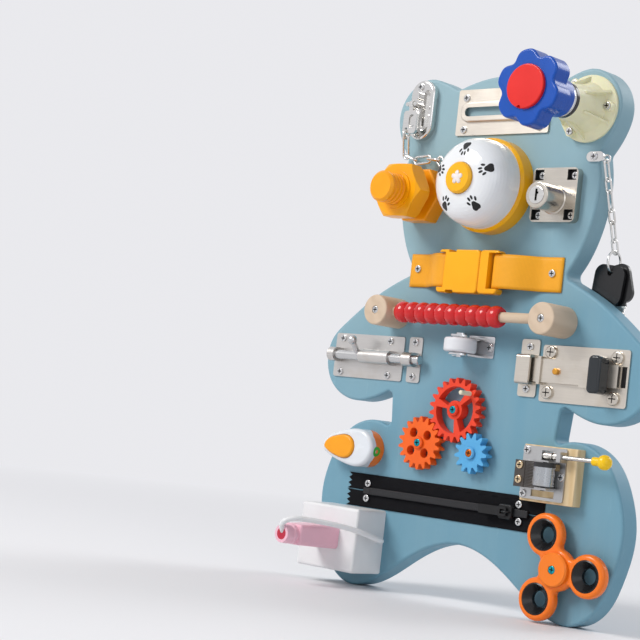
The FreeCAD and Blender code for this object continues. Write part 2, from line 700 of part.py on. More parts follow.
def make_rod_bolt():
    plate = corner_round(slab(-141, -70.3, 157.2, 191, 0, 1), 2.0)
    barrel = join([rod_x(-107, -77.5, ROD_HIGH, ROD_Z, 5.4), slab(-107, -77.5, ROD_Z - 5.4, ROD_Z + 5.4, 0.5, ROD_HIGH)])
    rear = join([rod_x(-139.5, -133, ROD_HIGH, ROD_Z, 5.4), slab(-139.5, -133, ROD_Z - 5.4, ROD_Z + 5.4, 0.5, ROD_HIGH)])
    bore = rod_x(-145, -70, ROD_HIGH, ROD_Z, ROD_R + RUN)
    plate = join([plate, barrel, rear]).cut(bore)
    parts["rod_bolt_plate"] = drilled(plate, ROD_SCREWS)
    small_screws.extend(screw_row(ROD_SCREWS, 1))
    rod = rounded(rod_x(-135.0, -48, ROD_HIGH, ROD_Z, ROD_R), 0.8, lambda e: e.BoundBox.XMin > -48.5)
    lean = V(0, -math.sin(HANDLE_LEAN), math.cos(HANDLE_LEAN))
    foot = V(HANDLE_X, -ROD_HIGH, ROD_Z)
    stem = Part.makeCylinder(2.1, HANDLE_LONG, foot, lean)
    ball = Part.makeSphere(3.6, foot.add(lean.multiply(HANDLE_LONG)))
    parts["rod_bolt"] = join([rod, stem, ball])
    keeper = corner_round(slab(-65.5, -52.5, 157.2, 191.4, 0, 1), 2.0)
    loop = join([rod_x(-63.5, -54.5, ROD_HIGH, ROD_Z, 5.4), slab(-63.5, -54.5, ROD_Z - 5.4, ROD_Z + 5.4, 0.5, ROD_HIGH)])
    keeper = join([keeper, loop]).cut(rod_x(-70, -50, ROD_HIGH, ROD_Z, ROD_R + 0.25))
    parts["rod_keeper"] = drilled(keeper, KEEPER_SCREWS)
    small_screws.extend(screw_row(KEEPER_SCREWS, 1))


# Small wheel in a bracket

WHEEL_X = -6.0
WHEEL_HIGH = 13.6
WHEEL_R = 12.0


def make_roller():
    plate = corner_round(slab(-24, 15.5, 179.5, 195.3, 0, 1), 1.5)
    ears = []
    for z0 in (179.5, 193.0):
        ears.append(slab(-14, 2, z0, z0 + 1.4, 0.5, WHEEL_HIGH))
        ears.append(rod_z(WHEEL_X, WHEEL_HIGH, z0, z0 + 1.4, 8.0))
    pin = join([rod_z(WHEEL_X, WHEEL_HIGH, 178.3, 195.6, 2.2), rod_z(WHEEL_X, WHEEL_HIGH, 194.4, 195.8, 3.8)])
    places = [(11.4, 187.3), (-20.6, 187.3)]
    parts["roller_bracket"] = drilled(join([plate, pin] + ears), places)
    small_screws.extend(screw_row(places, 1))
    wheel = rod_z(WHEEL_X, WHEEL_HIGH, 181.6, 192.0, WHEEL_R)
    wheel = rounded(wheel, 2.0, lambda e: e.BoundBox.ZLength < 0.01)
    parts["roller_wheel"] = wheel.cut(rod_z(WHEEL_X, WHEEL_HIGH, 170, 200, 2.2 + RUN))


# Flat bolt on the right arm

SLIDE_Z = (165.5, 182.0)
PAN_PLACES = [(67.3, 187.2), (123.0, 186.3), (67.0, 158.6), (122.6, 158.2)]
FLAT_KEEPER_SCREWS = [(48.2, 190.0), (48.2, 160.0)]


def make_flat_bolt():
    z0, z1 = SLIDE_Z
    plate = corner_round(slab(59.6, 132.6, 152.2, 192.2, 0, 1.2), 2.0)
    guides = []
    for x0, x1 in ((59.8, 62.4), (96.0, 104.0)):
        outer = slab(x0, x1, z0 - 1.6, z1 + 1.6, 1.0, 6.6)
        guides.append(outer.cut(slab(x0 - 1, x1 + 1, z0 - RUN, z1 + RUN, 1.2, 5.2)))
    end_slot = slab(127.0, 131.0, z0 + 0.6, z1 - 1.4, -1, 3)
    parts["flat_bolt_plate"] = drilled(join([plate] + guides).cut(end_slot), PAN_PLACES)
    for x, z in PAN_PLACES:
        pan_screws.append(wood_screw(x, z, 1.2, PAN_R, PAN_HIGH))
    slide = slab(42.5, 100.0, z0, z1, 1.3, 5.1)
    slide = rounded(slide, 3.0, lambda e: along(V(0, 1, 0))(e) and e.BoundBox.XMax < 43)
    pin = disc(75.6, 173.6, 2.3, 3.0, 7.6)
    foot = disc(113.5, 173.4, 3.2, 3.0, 6)
    tail = slab(99.0, 126.4, z0, z1 - 0.8, 1.3, 5.1)
    parts["flat_bolt_slide"] = join([slide, tail, rounded(pin, 0.7, at_height(7.6))]).cut(foot)
    grip = rounded(corner_round(slab(108.5, 118.5, 160.3, 186.4, 5.2, 16), 3.5), 2.0, at_height(16))
    parts["flat_bolt_knob"] = join([grip, foot])
    keeper = corner_round(slab(40.4, 56.3, 154.5, 195.4, 0, 1.2), 2.0)
    bridge = slab(42.4, 54.3, z0 - 2.4, z1 + 2.4, 1.0, 9.0)
    bridge = rounded(bridge, 2.2, lambda e: along(V(1, 0, 0))(e) and e.BoundBox.YMax < -8)
    bridge = bridge.cut(slab(40, 60, z0 - 0.4, z1 + 0.4, 1.2, 7.2))
    parts["flat_keeper"] = drilled(join([keeper, bridge]), FLAT_KEEPER_SCREWS)
    small_screws.extend(screw_row(FLAT_KEEPER_SCREWS, 1.2))


# Three gears in mesh

MODULE = 2.0
RED = (-8.7, 139.8)
RED_TEETH = 22
ORANGE_TEETH = 18
BLUE_TEETH = 13
ORANGE_ANGLE = 221.5
BLUE_ANGLE = 302.5
GEAR_LOW = 2.0
GEAR_HIGH = 9.0
MESH_SPACE = 0.35
AXLE_R = 3.2
SPOKES = (45.0, 165.0, 285.0)


def gear_centre(teeth, degrees):
    return polar(RED[0], RED[1], MODULE * (RED_TEETH + teeth) / 2 + MESH_SPACE, degrees)


def gear_blank(x, z, teeth, phase):
    """A toy gear: teeth with straight flanks and rounded valleys; phase turns one tooth."""
    pitch_r = MODULE * teeth / 2
    tip = pitch_r + 0.85 * MODULE
    root = pitch_r - 1.15 * MODULE
    step = 360.0 / teeth
    points = []
    for k in range(teeth):
        middle = phase + k * step
        for radius, share in ((root, -0.36), (pitch_r, -0.225), (tip, -0.10), (tip, 0.10), (pitch_r, 0.225), (root, 0.36)):
            points.append(polar(x, z, radius, middle + share * step))
    return prism(points, GEAR_LOW, GEAR_HIGH)


def gear_axle(x, z):
    """A capped stub that a gear turns on."""
    stub = turned(x, z, [(0, 0), (6.0, 0), (6.0, 1.7), (AXLE_R, 1.7), (AXLE_R, 9.4), (4.4, 9.4), (4.4, 10.6),
                         (3.8, 11.2), (0, 11.2)])
    stub = stub.cut(disc(x, z, HEAD_R + 0.15, 10.2, 13))
    small_screws.append(wood_screw(x, z, 10.2))
    hole_in_board(x, z, SHANK_R, -0.8, 1)
    return drilled(stub, [(x, z)])


def make_gears():
    orange = gear_centre(ORANGE_TEETH, ORANGE_ANGLE)
    blue = gear_centre(BLUE_TEETH, BLUE_ANGLE)
    red_phase = ORANGE_ANGLE
    blue_on_red = (BLUE_ANGLE - red_phase) / (360.0 / RED_TEETH)
    blue_phase = BLUE_ANGLE + 180 + (0.5 + blue_on_red) * 360.0 / BLUE_TEETH
    orange_phase = ORANGE_ANGLE + 180 + 180.0 / ORANGE_TEETH
    x, z = RED
    gear = gear_blank(x, z, RED_TEETH, red_phase)
    for spoke in SPOKES:
        gear = gear.cut(sector(x, z, 6.9, 17.2, spoke + 10, spoke + 110))
    gear = gear.cut(disc(x, z, AXLE_R + RUN, 0, 20))
    peg_at = (4.3, 152.6)
    peg = rounded(disc(peg_at[0], peg_at[1], 1.7, 5.0, 20.5), 0.8, at_height(20.5))
    parts["gear_red"] = join([gear, peg])
    gear = gear_blank(orange[0], orange[1], ORANGE_TEETH, orange_phase)
    holes = [disc(*polar(orange[0], orange[1], 9.4, 40 + 90 * k), 3.6, 0, 20) for k in range(4)]
    parts["gear_orange"] = gear.cut(holes + [disc(orange[0], orange[1], AXLE_R + RUN, 0, 20)])
    gear = gear_blank(blue[0], blue[1], BLUE_TEETH, blue_phase)
    parts["gear_blue"] = gear.cut(disc(blue[0], blue[1], AXLE_R + RUN, 0, 20))
    parts["gear_axles"] = Part.Compound([gear_axle(cx, cz) for cx, cz in (RED, orange, blue)])


def sector(x, z, inner, outer, start, end):
    """A window between two radii and two angles."""
    middle = (start + end) / 2
    def spot(radius, degrees):
        px, pz = polar(x, z, radius, degrees)
        return V(px, 0, pz)
    edges = [Part.Arc(spot(inner, start), spot(inner, middle), spot(inner, end)).toShape(),
             Part.makeLine(spot(inner, end), spot(outer, end)),
             Part.Arc(spot(outer, end), spot(outer, middle), spot(outer, start)).toShape(),
             Part.makeLine(spot(outer, start), spot(inner, start))]
    return Part.Face(Part.Wire(edges)).extrude(V(0, -30, 0))


# Clicker

CLICKER_Z = 103.8


def egg(x0, x1, half, low, high):
    """An egg lying along x, narrow at x0 and blunt at x1."""
    length = x1 - x0
    upper = [(0.12, 0.52), (0.38, 0.84), (0.66, 1.0), (0.89, 0.76)]
    points = [V(x0, -low, CLICKER_Z)]
    points += [V(x0 + u * length, -low, CLICKER_Z + v * half) for u, v in upper]
    points.append(V(x1, -low, CLICKER_Z))
    points += [V(x0 + u * length, -low, CLICKER_Z - v * half) for u, v in upper[::-1]]
    curve = Part.BSplineCurve()
    curve.interpolate(points, PeriodicFlag=True)
    return Part.Face(Part.Wire(curve.toShape())).extrude(V(0, low - high, 0))


def make_clicker():
    shell = rounded(egg(-131, -80, 14.4, 0, 15), 3.0, at_height(15))
    mouth = egg(-128.0, -97, 9.3, 3, 20)
    screw_at = [(-116, CLICKER_Z), (-106, CLICKER_Z)]
    parts["clicker_shell"] = drilled(shell.cut(mouth), screw_at)
    for place in screw_at:
        small_screws.append(wood_screw(place[0], place[1], 3.0))
    button = egg(-127.6, -97.4, 8.95, 8.5, 17)
    parts["clicker_button"] = rounded(button, 1.8, at_height(17))


# Zipper

ZIP_Z = (59.5, 84.7)
ZIP_MIDDLE = 72.1
ZIP_LEFT = -110.0
ZIP_RIGHT = 75.0
ZIP_SCREWS = [(-91, 77.6), (-91.4, 66.3), (52.8, 78.2), (54.0, 66.2)]
SLIDER_X = 44.0
TEETH_TOP = 3.2


def tape(z0, z1):
    """One half of the zipper's tape, with its left end pinked."""
    teeth = 3
    step = (z1 - z0) / teeth
    points = [(ZIP_RIGHT, z0), (ZIP_RIGHT, z1)]
    for k in range(teeth):
        z = z1 - k * step
        points += [(ZIP_LEFT - 2.0, z), (ZIP_LEFT + 1.5, z - step / 2)]
    points += [(ZIP_LEFT - 2.0, z0)]
    return prism(points, 0, 1)


def make_zipper():
    z0, z1 = ZIP_Z
    upper = tape(ZIP_MIDDLE + 0.3, z1).cut(slab(57.6, 90, 81.7, 90, -1, 2))
    tapes = [drilled(tape(z0, ZIP_MIDDLE - 0.3), ZIP_SCREWS), drilled(upper, ZIP_SCREWS)]
    chain_bar = slab(-88, 62, ZIP_MIDDLE - 2.6, ZIP_MIDDLE + 2.6, 1.0, TEETH_TOP)
    parts["zipper_tape"] = Part.Compound(tapes)
    stop = corner_round(slab(-93.6, -87.0, ZIP_MIDDLE - 2.3, ZIP_MIDDLE + 2.3, 1.0, 3.4), 1.0)
    parts["zipper_teeth"] = join([rounded(chain_bar, 0.8, at_height(TEETH_TOP)), stop])
    small_screws.extend(screw_row(ZIP_SCREWS, 1))
    x = SLIDER_X
    body = corner_round(slab(x - 6, x + 6, ZIP_MIDDLE - 5.2, ZIP_MIDDLE + 5.2, 1.1, 6.0), 2.2)
    body = rounded(body, 1.0, at_height(6.0))
    tunnel = slab(x - 8, x + 8, ZIP_MIDDLE - 2.9, ZIP_MIDDLE + 2.9, 0, TEETH_TOP + 0.2)
    bail = wire_ring(V(x + 2, -6.5, ZIP_MIDDLE), V(0, 0, 1), 3.0, 0.7)
    puller = corner_round(slab(x - 22, x + 2.8, ZIP_MIDDLE - 3.2, ZIP_MIDDLE + 3.2, 6.9, 8.0), 1.6)
    puller = puller.cut(slab(x - 2.6, x + 1.2, ZIP_MIDDLE - 1.6, ZIP_MIDDLE + 1.6, 5, 10))
    parts["zipper_slider"] = Part.Compound([join([body, bail]).cut(tunnel), puller])


# Music box in its pine block

MUSIC = (58.0, 103.5, 82.0, 121.5)
BLOCK_HIGH = 9.0
BASE_HIGH = BLOCK_HIGH + 1.4
DRUM_Z = (93.2, 110.0)
DRUM_X = 84.0
DRUM_HIGH = 18.6
DRUM_R = 7.2
COMB_LOW = 15.8
CRANK_Z = 114.8
CRANK_HIGH = 15.0


def make_music_box():
    x0, x1, z0, z1 = MUSIC
    block = slab(x0, x1, z0, z1, 0, BLOCK_HIGH)
    block = rounded(block, 0.8, lambda e: along(V(0, 1, 0))(e) or at_height(BLOCK_HIGH)(e))
    base_screws = [(61.9, 87.0), (61.9, 117.4), (92.7, 101.0)]
    comb_screws = [(61.8, 96.5), (61.8, 106.5)]
    parts["music_block"] = drilled(block, base_screws + comb_screws)
    small_screws.extend(screw_row(base_screws, BASE_HIGH) + screw_row(comb_screws, COMB_LOW + 1.2))
    base = corner_round(slab(x0 + 0.8, 95.6, z0 + 1.8, z1 - 0.8, BLOCK_HIGH, BASE_HIGH), 1.5)
    window = slab(68.5, 88.0, z0 + 3.8, 90.4, 0, 20)
    gap = slab(86.0, 91.0, 105.0, 109.6, 0, 20)
    shelf = slab(x0 + 0.8, 66.0, 91.4, 110.0, BLOCK_HIGH, COMB_LOW)
    ends = [slab(DRUM_X - 5, DRUM_X + 5, DRUM_Z[0] - 2.1, DRUM_Z[0] - 0.6, BLOCK_HIGH, DRUM_HIGH + 3),
            slab(DRUM_X - 5, DRUM_X + 5, DRUM_Z[1] + 0.5, DRUM_Z[1] + 1.5, BLOCK_HIGH, DRUM_HIGH + 3)]
    bearings = [slab(92.2, 95.6, CRANK_Z - 3.6, CRANK_Z + 3.6, BLOCK_HIGH, CRANK_HIGH + 3),
                slab(76.2, 80.2, CRANK_Z - 3.2, CRANK_Z + 3.6, BLOCK_HIGH, CRANK_HIGH + 3)]
    frame = join([base.cut([window, gap]), shelf] + ends + bearings)
    axle_hole = rod_z(DRUM_X, DRUM_HIGH, DRUM_Z[0] - 4, DRUM_Z[1] + 3, 1.5 + RUN)
    crank_hole = rod_x(60, 100, CRANK_HIGH, CRANK_Z, 1.6 + RUN)
    parts["music_frame"] = drilled(frame.cut([axle_hole, crank_hole]), base_screws + comb_screws)
    comb = slab(x0 - 0.4, 66.0, 91.4, 110.0, COMB_LOW, COMB_LOW + 1.2)
    teeth = []
    count = 18
    width = 18.6 / count
    for k in range(count):
        low = 91.4 + k * width
        teeth.append(slab(65.8, 76.2, low + 0.2, low + width - 0.1, COMB_LOW + 0.2, COMB_LOW + 1.0))
    parts["music_comb"] = drilled(join([comb] + teeth), comb_screws)
    drum = rod_z(DRUM_X, DRUM_HIGH, DRUM_Z[0], DRUM_Z[1], DRUM_R)
    wheel = rod_z(DRUM_X, DRUM_HIGH, DRUM_Z[1] - 3.0, DRUM_Z[1], DRUM_R + 0.4)
    arbor = rod_z(DRUM_X, DRUM_HIGH, DRUM_Z[0] - 2.6, DRUM_Z[1] + 1.6, 1.5)
    parts["music_drum"] = join([drum, wheel, arbor])
    shaft = rod_x(76.4, 124.0, CRANK_HIGH, CRANK_Z, 1.6)
    worm = rod_x(81.0, 87.6, CRANK_HIGH, CRANK_Z, 2.7)
    collar_ring = rod_x(89.2, 91.9, CRANK_HIGH, CRANK_Z, 2.7)
    parts["crank_shaft"] = join([shaft, worm, collar_ring])
    knob = Part.makeSphere(5.2, V(130.0, -CRANK_HIGH, CRANK_Z)).fuse(rod_x(121.0, 128.0, CRANK_HIGH, CRANK_Z, 3.0))
    parts["crank_knob"] = knob.removeSplitter().cut(shaft)


# Spinner

SPINNER = (96.8, 38.2)
SPIN_LOW = 5.0
SPIN_HIGH = 13.0
LOBE_AT = 25.6
LOBE_ANGLES = (118.0, 238.0, 358.0)


def make_spinner():
    x, z = SPINNER
    solids = [disc(x, z, 14.5, SPIN_LOW, SPIN_HIGH)]
    for a in LOBE_ANGLES:
        px, pz = polar(x, z, LOBE_AT, a)
        solids.append(disc(px, pz, 15.0, SPIN_LOW, SPIN_HIGH))
    body = join(solids)
    body = rounded(body, 3.0, along(V(0, 1, 0)))
    body = rounded(body, 2.8, lambda e: at_height(SPIN_LOW)(e) or at_height(SPIN_HIGH)(e))
    holes = []
    rings = []
    for a in LOBE_ANGLES:
        px, pz = polar(x, z, LOBE_AT, a)
        holes.append(disc(px, pz, 11.2, 0, 20))
        rings.append(turned(px, pz, [(5.6, 5.4), (11.2, 5.4), (11.2, 12.8), (10.2, 13.4), (5.6, 8.4)]))
    parts["spinner_body"] = body.cut(holes + [disc(x, z, 4.0 + RUN, 0, 20)])
    parts["spinner_rings"] = Part.Compound(rings)
    post = turned(x, z, [(0, 0), (6.0, 0), (6.0, SPIN_LOW - 0.3), (4.0, SPIN_LOW - 0.3), (4.0, SPIN_HIGH + 0.3),
                         (11.8, SPIN_HIGH + 0.3), (11.8, 15.2), (10.8, 16.2), (0, 16.2)])
    post = post.cut(disc(x, z, HEAD_R + 0.2, 15.0, 20))
    parts["spinner_post"] = drilled(post, [(x, z)])
    small_screws.append(wood_screw(x, z, 15.0))
    hole_in_board(x, z, SHANK_R, -6, 1)


# Toy wall socket with its plug and cord

BOX = (-129.0, -71.0, 11.2, 59.0)
BOX_HIGH = 31.0
PLUG_BODY_TOP = 69.0
PLUG = (-99.5, 36.0)
CORD_R = 2.0


def tapered_block(x, z, base_half, top_half, low, high):
    """A block that narrows forwards, with all its long edges rounded."""
    outlines = []
    for (across, up), h in ((base_half, low), (top_half, high)):
        corners = [V(x + sx * across, -h, z + sz * up) for sx, sz in ((-1, -1), (1, -1), (1, 1), (-1, 1))]
        outlines.append(Part.makePolygon(corners + corners[:1]))
    block = Part.makeLoft(outlines, True, True)
    return rounded(block, 3.0, lambda edge: edge.BoundBox.YLength > 5)


def cord_route():
    """The cord leaves the plug's outer end, turns back over it and runs to the box's side."""
    x, z = PLUG
    return [V(x, -77.5, z), V(x, -84.0, z + 7.0), V(x + 7, -79.0, z + 12.5), V(x + 14, -66.0, z + 12.0),
            V(x + 24, -50.0, z + 10.5), V(x + 33.5, -33.0, z + 7.0), V(x + 37.0, -18.0, z + 2.5),
            V(x + 36.5, -7.5, z + 0.5), V(x + 26.0, -7.5, z + 0.5)]


def make_socket():
    x0, x1, z0, z1 = BOX
    x, z = PLUG
    box = slab(x0, x1, z0, z1, 0, BOX_HIGH)
    box = rounded(box, 2.0, lambda e: along(V(0, 1, 0))(e) or at_height(BOX_HIGH)(e))
    hollow = slab(x0 + 2.4, x1 - 2.4, z0 + 2.4, z1 - 2.4, -1, BOX_HIGH - 4)
    places = [(x1 - 9, z0 + 9), (x0 + 14, z1 - 9)]
    posts = [disc(px, pz, 4.0, 0, BOX_HIGH - 4) for px, pz in places]
    slots = [slab(x + dx - 1.4, x + dx + 1.4, z - 3.6, z + 3.6, BOX_HIGH - 6, BOX_HIGH + 1) for dx in (-5.2, 5.2)]
    box = join([box.cut(hollow)] + posts).cut(slots)
    cord_hole = rod_x(x1 - 4, x1 + 4, 7.5, z + 0.5, CORD_R + 0.05)
    for px, pz in places:
        box = box.cut(disc(px, pz, SHANK_R, -1, BACK_SCREW_REACH))
        small_screws.append(back_screw(px, pz, BACK_SCREW_REACH))
    parts["socket_box"] = box.cut(cord_hole)
    body = tapered_block(x, z, (11.5, 9.0), (9.0, 7.6), BOX_HIGH, PLUG_BODY_TOP)
    body = rounded(body, 1.5, at_height(PLUG_BODY_TOP))
    neck = turned(x, z, [(0, PLUG_BODY_TOP - 5), (7.2, PLUG_BODY_TOP - 5), (7.2, 72), (6.6, 72.8), (6.6, 74.4), (7.2, 75.2), (6.6, 80.5), (0, 80.5)])
    prongs = [slab(x + dx - 1.2, x + dx + 1.2, z - 3.3, z + 3.3, BOX_HIGH - 20 + 2, BOX_HIGH + 1) for dx in (-5.2, 5.2)]
    plug = join([body, neck] + prongs)
    edges, radii = routed(cord_route())
    cord = wire_tube(edges, CORD_R)
    length = sum(edge.Length for edge in edges)
    print("plug cord length", round(length, 1), "bend radii", [round(r, 1) for r in radii])
    print("cord volume", round(cord.Volume, 1), "section times length", round(math.pi * CORD_R ** 2 * length, 1))
    parts["plug"] = plug.cut(cord)
    parts["plug_cord"] = cord


make_tap()
make_track()
make_chain()
make_toy_bolt()
make_bell()
make_lock()
make_key_hook()
make_keys()
make_strap()
make_abacus()
make_rod_bolt()
make_roller()
make_flat_bolt()
make_gears()
make_clicker()
make_zipper()
make_music_box()
make_spinner()
make_socket()
parts["small_screws"] = Part.Compound(small_screws)
parts["pan_screws"] = Part.Compound(pan_screws)
parts["long_screws"] = Part.Compound(long_screws)
parts["board"] = make_board().cut(board_holes)

whole = FreeCAD.BoundBox()
for name, shape in parts.items():
    shape.translate(V(0, ORIGIN_SHIFT, 0))
    if not shape.isValid() or shape.Volume <= 0:
        print("PROBLEM", name, shape.isValid(), shape.Volume)
    shape.exportStep("parts/" + name + ".step")
    box = shape.optimalBoundingBox()
    whole.add(box)
    if name == "board" or box.YMin < -50 or box.YMax > 45:
        print(name, box)
print(len(parts), "nodes; box x", round(whole.XMin, 2), round(whole.XMax, 2), "y", round(whole.YMin, 2),
      round(whole.YMax, 2), "z", round(whole.ZMin, 2), round(whole.ZMax, 2))
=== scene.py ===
# %% [markdown]
# A bear-shaped busy board, dressed for its portrait.
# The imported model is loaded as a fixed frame, in metres. Everything below gives its pieces
# their finishes, and replaces the few soft pieces with cloth.

# %% Load the frame
import bpy
import bmesh
import math
import random
from mathutils import Matrix, Vector


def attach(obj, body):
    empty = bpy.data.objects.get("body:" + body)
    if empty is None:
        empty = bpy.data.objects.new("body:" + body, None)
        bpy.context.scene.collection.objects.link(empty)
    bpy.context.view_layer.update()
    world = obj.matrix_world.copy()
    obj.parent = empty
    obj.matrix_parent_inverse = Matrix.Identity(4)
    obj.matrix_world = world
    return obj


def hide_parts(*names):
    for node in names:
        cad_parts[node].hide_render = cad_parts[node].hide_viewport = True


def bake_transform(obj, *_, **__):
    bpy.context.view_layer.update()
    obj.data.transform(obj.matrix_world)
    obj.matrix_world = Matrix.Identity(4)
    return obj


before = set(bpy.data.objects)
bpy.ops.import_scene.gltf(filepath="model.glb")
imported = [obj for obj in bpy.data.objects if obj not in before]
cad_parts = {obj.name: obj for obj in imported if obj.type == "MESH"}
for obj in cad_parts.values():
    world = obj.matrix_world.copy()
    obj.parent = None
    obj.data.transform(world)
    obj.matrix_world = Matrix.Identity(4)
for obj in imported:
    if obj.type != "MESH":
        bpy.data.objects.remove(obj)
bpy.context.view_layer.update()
MM = 0.001
FACE_Y = 27.55 * MM
BOARD = "board_with_fittings"


def spot(x, high, z):
    """A place in millimetres: across the board, forwards from its face, and up."""
    return Vector((x * MM, FACE_Y - high * MM, z * MM))


# %% [markdown]
# The camera comes first. It stands to the right of the board, a little low, with a long
# lens and a slight tilt, so its axes are worked out from a heading, a rise and a roll.

# %% Camera
CAMERA_AT = (797.65, 994.63, 122.68)
HEADING = math.radians(43.998)
RISE = math.radians(3.21)
ROLL = math.radians(6.521)
LENS_MM = 97.96

level = Vector((-math.sin(HEADING), math.cos(HEADING), 0))
aside = Vector((math.cos(HEADING), math.sin(HEADING), 0))
skyward = Vector((0, 0, 1))
ahead = math.cos(RISE) * level + math.sin(RISE) * skyward
upward = math.cos(RISE) * skyward - math.sin(RISE) * level
right = math.cos(ROLL) * aside + math.sin(ROLL) * upward
up = math.cos(ROLL) * upward - math.sin(ROLL) * aside
camera_data = bpy.data.cameras.new("camera")
camera_data.lens = LENS_MM
camera_data.sensor_width = 36.0
camera_data.clip_start = 0.01
camera = bpy.data.objects.new("camera", camera_data)
bpy.context.scene.collection.objects.link(camera)
turn = Matrix((right, up, -ahead)).transposed().to_4x4()
camera.matrix_world = Matrix.Translation(spot(*CAMERA_AT)) @ turn
bpy.context.scene.camera = camera
print("camera", [round(c, 3) for c in camera.matrix_world.translation])


# %% [markdown]
# Shader maths reads best as plain expressions. A small class wraps a socket, and its
# operators add the Math nodes. One more class owns a material's tree and its surface.

# %% Sockets and finishes
class Wire:
    """A number that flows through a material's nodes."""

    def __init__(self, finish, socket):
        self.finish = finish
        self.socket = socket

    def maths(self, operation, first, second=0.0, clamp=False):
        return self.finish.add("ShaderNodeMath", {"operation": operation, "use_clamp": clamp},
                               {0: first, 1: second})

    def __add__(self, other):
        return self.maths("ADD", self, other)

    def __radd__(self, other):
        return self.maths("ADD", other, self)

    def __sub__(self, other):
        return self.maths("SUBTRACT", self, other)

    def __rsub__(self, other):
        return self.maths("SUBTRACT", other, self)

    def __mul__(self, other):
        return self.maths("MULTIPLY", self, other)

    def __rmul__(self, other):
        return self.maths("MULTIPLY", other, self)

    def above(self, limit):
        return self.maths("GREATER_THAN", self, limit)

    def below(self, limit):
        return self.maths("LESS_THAN", self, limit)

    def clamped(self):
        return self.maths("ADD", self, 0.0, clamp=True)

    def sine(self):
        return self.maths("SINE", self)

    def root(self):
        return self.maths("SQRT", self)


class Finish:
    """A material with one Principled surface."""

    def __init__(self, name, colour, roughness=0.5, metallic=0.0, coat=0.0, specular=0.3):
        self.material = bpy.data.materials.new(name)
        self.material.use_nodes = True
        self.tree = self.material.node_tree
        self.surface = self.tree.nodes["Principled BSDF"]
        starts = {"Base Color": (*colour, 1), "Roughness": roughness, "Metallic": metallic,
                  "Coat Weight": coat, "Coat Roughness": 0.08,
                  "Specular IOR Level": 0.5 if metallic else specular}
        for key, value in starts.items():
            self.surface.inputs[key].default_value = value

    def add(self, kind, settings=None, values=None, output=0):
        """Adds a node: its settings first, then the value or link of each socket."""
        node = self.tree.nodes.new(kind)
        for key, value in (settings or {}).items():
            setattr(node, key, value)
        for key, value in (values or {}).items():
            if isinstance(value, Wire):
                self.tree.links.new(value.socket, node.inputs[key])
            elif value is not None:
                node.inputs[key].default_value = value
        return Wire(self, node.outputs[output])

    def place(self, stretch=(1, 1, 1)):
        """Object coordinates, stretched for a pattern with a direction."""
        coordinates = self.add("ShaderNodeTexCoord", output="Object")
        return self.add("ShaderNodeMapping", None, {"Vector": coordinates, "Scale": stretch})

    def axes(self):
        """The three Object coordinates as numbers: across, forwards from the face, up, in mm."""
        coordinates = self.add("ShaderNodeTexCoord", output="Object")
        split = self.add("ShaderNodeSeparateXYZ", None, {0: coordinates})
        x, y, z = (Wire(self, split.socket.node.outputs[k]) for k in range(3))
        return x * 1000, FACE_Y * 1000 - y * 1000, z * 1000

    def noise(self, scale, detail=4.0, stretch=(1, 1, 1), roughness=0.55):
        return self.add("ShaderNodeTexNoise", None, {"Vector": self.place(stretch), "Scale": scale,
                                                     "Detail": detail, "Roughness": roughness})

    def mix(self, factor, first, second):
        """Colours first and second blended by a factor."""
        first = first if isinstance(first, Wire) else (*first, 1)
        second = second if isinstance(second, Wire) else (*second, 1)
        return self.add("ShaderNodeMix", {"data_type": "RGBA"}, {0: factor, 6: first, 7: second},
                        output=2)

    def feed(self, name, wire):
        self.tree.links.new(wire.socket, self.surface.inputs[name])

    def bump(self, height, strength, distance):
        self.feed("Normal", self.add("ShaderNodeBump", None, {"Height": height, "Strength": strength,
                                                              "Distance": distance}))


def shade(colour, factor):
    return tuple(min(1.0, c * factor) for c in colour)


def dress(node, finish):
    """Gives a CAD node its finish."""
    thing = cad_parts[node]
    if not thing.material_slots:
        thing.data.materials.append(finish.material)
    for place in thing.material_slots:
        place.material = finish.material


# %% [markdown]
# The board is plywood under a thin coat of greyish blue paint. The grain still shows as long
# soft streaks up the face, and the paint lies slightly uneven, so noise that is stretched
# along z drives both the colour and a shallow bump. A slope over x and z blends two tones:
# paler and greyer towards the ears and the upper left, deeper blue towards the feet and the
# right. That slope is painted light falling from the upper left, and random clouds of uneven
# paint are mixed into it. The board under the flat bolt's end slot is painted near black, a
# painted shadow for the deep slot, which two comparisons pick out.

# %% Painted board
# Two tones of the paint: the deeper one as painted shade towards the feet and the right, the paler one as
# painted light towards the upper left.
PAINT_DEEP_SHADED = (0.150, 0.325, 0.430)
PAINT_PALE_LIT = (0.285, 0.435, 0.490)
END_SLOT_X = (126.8, 131.2)
END_SLOT_Z = (165.8, 180.9)
SLOT_SHADE = (0.006, 0.006, 0.007)


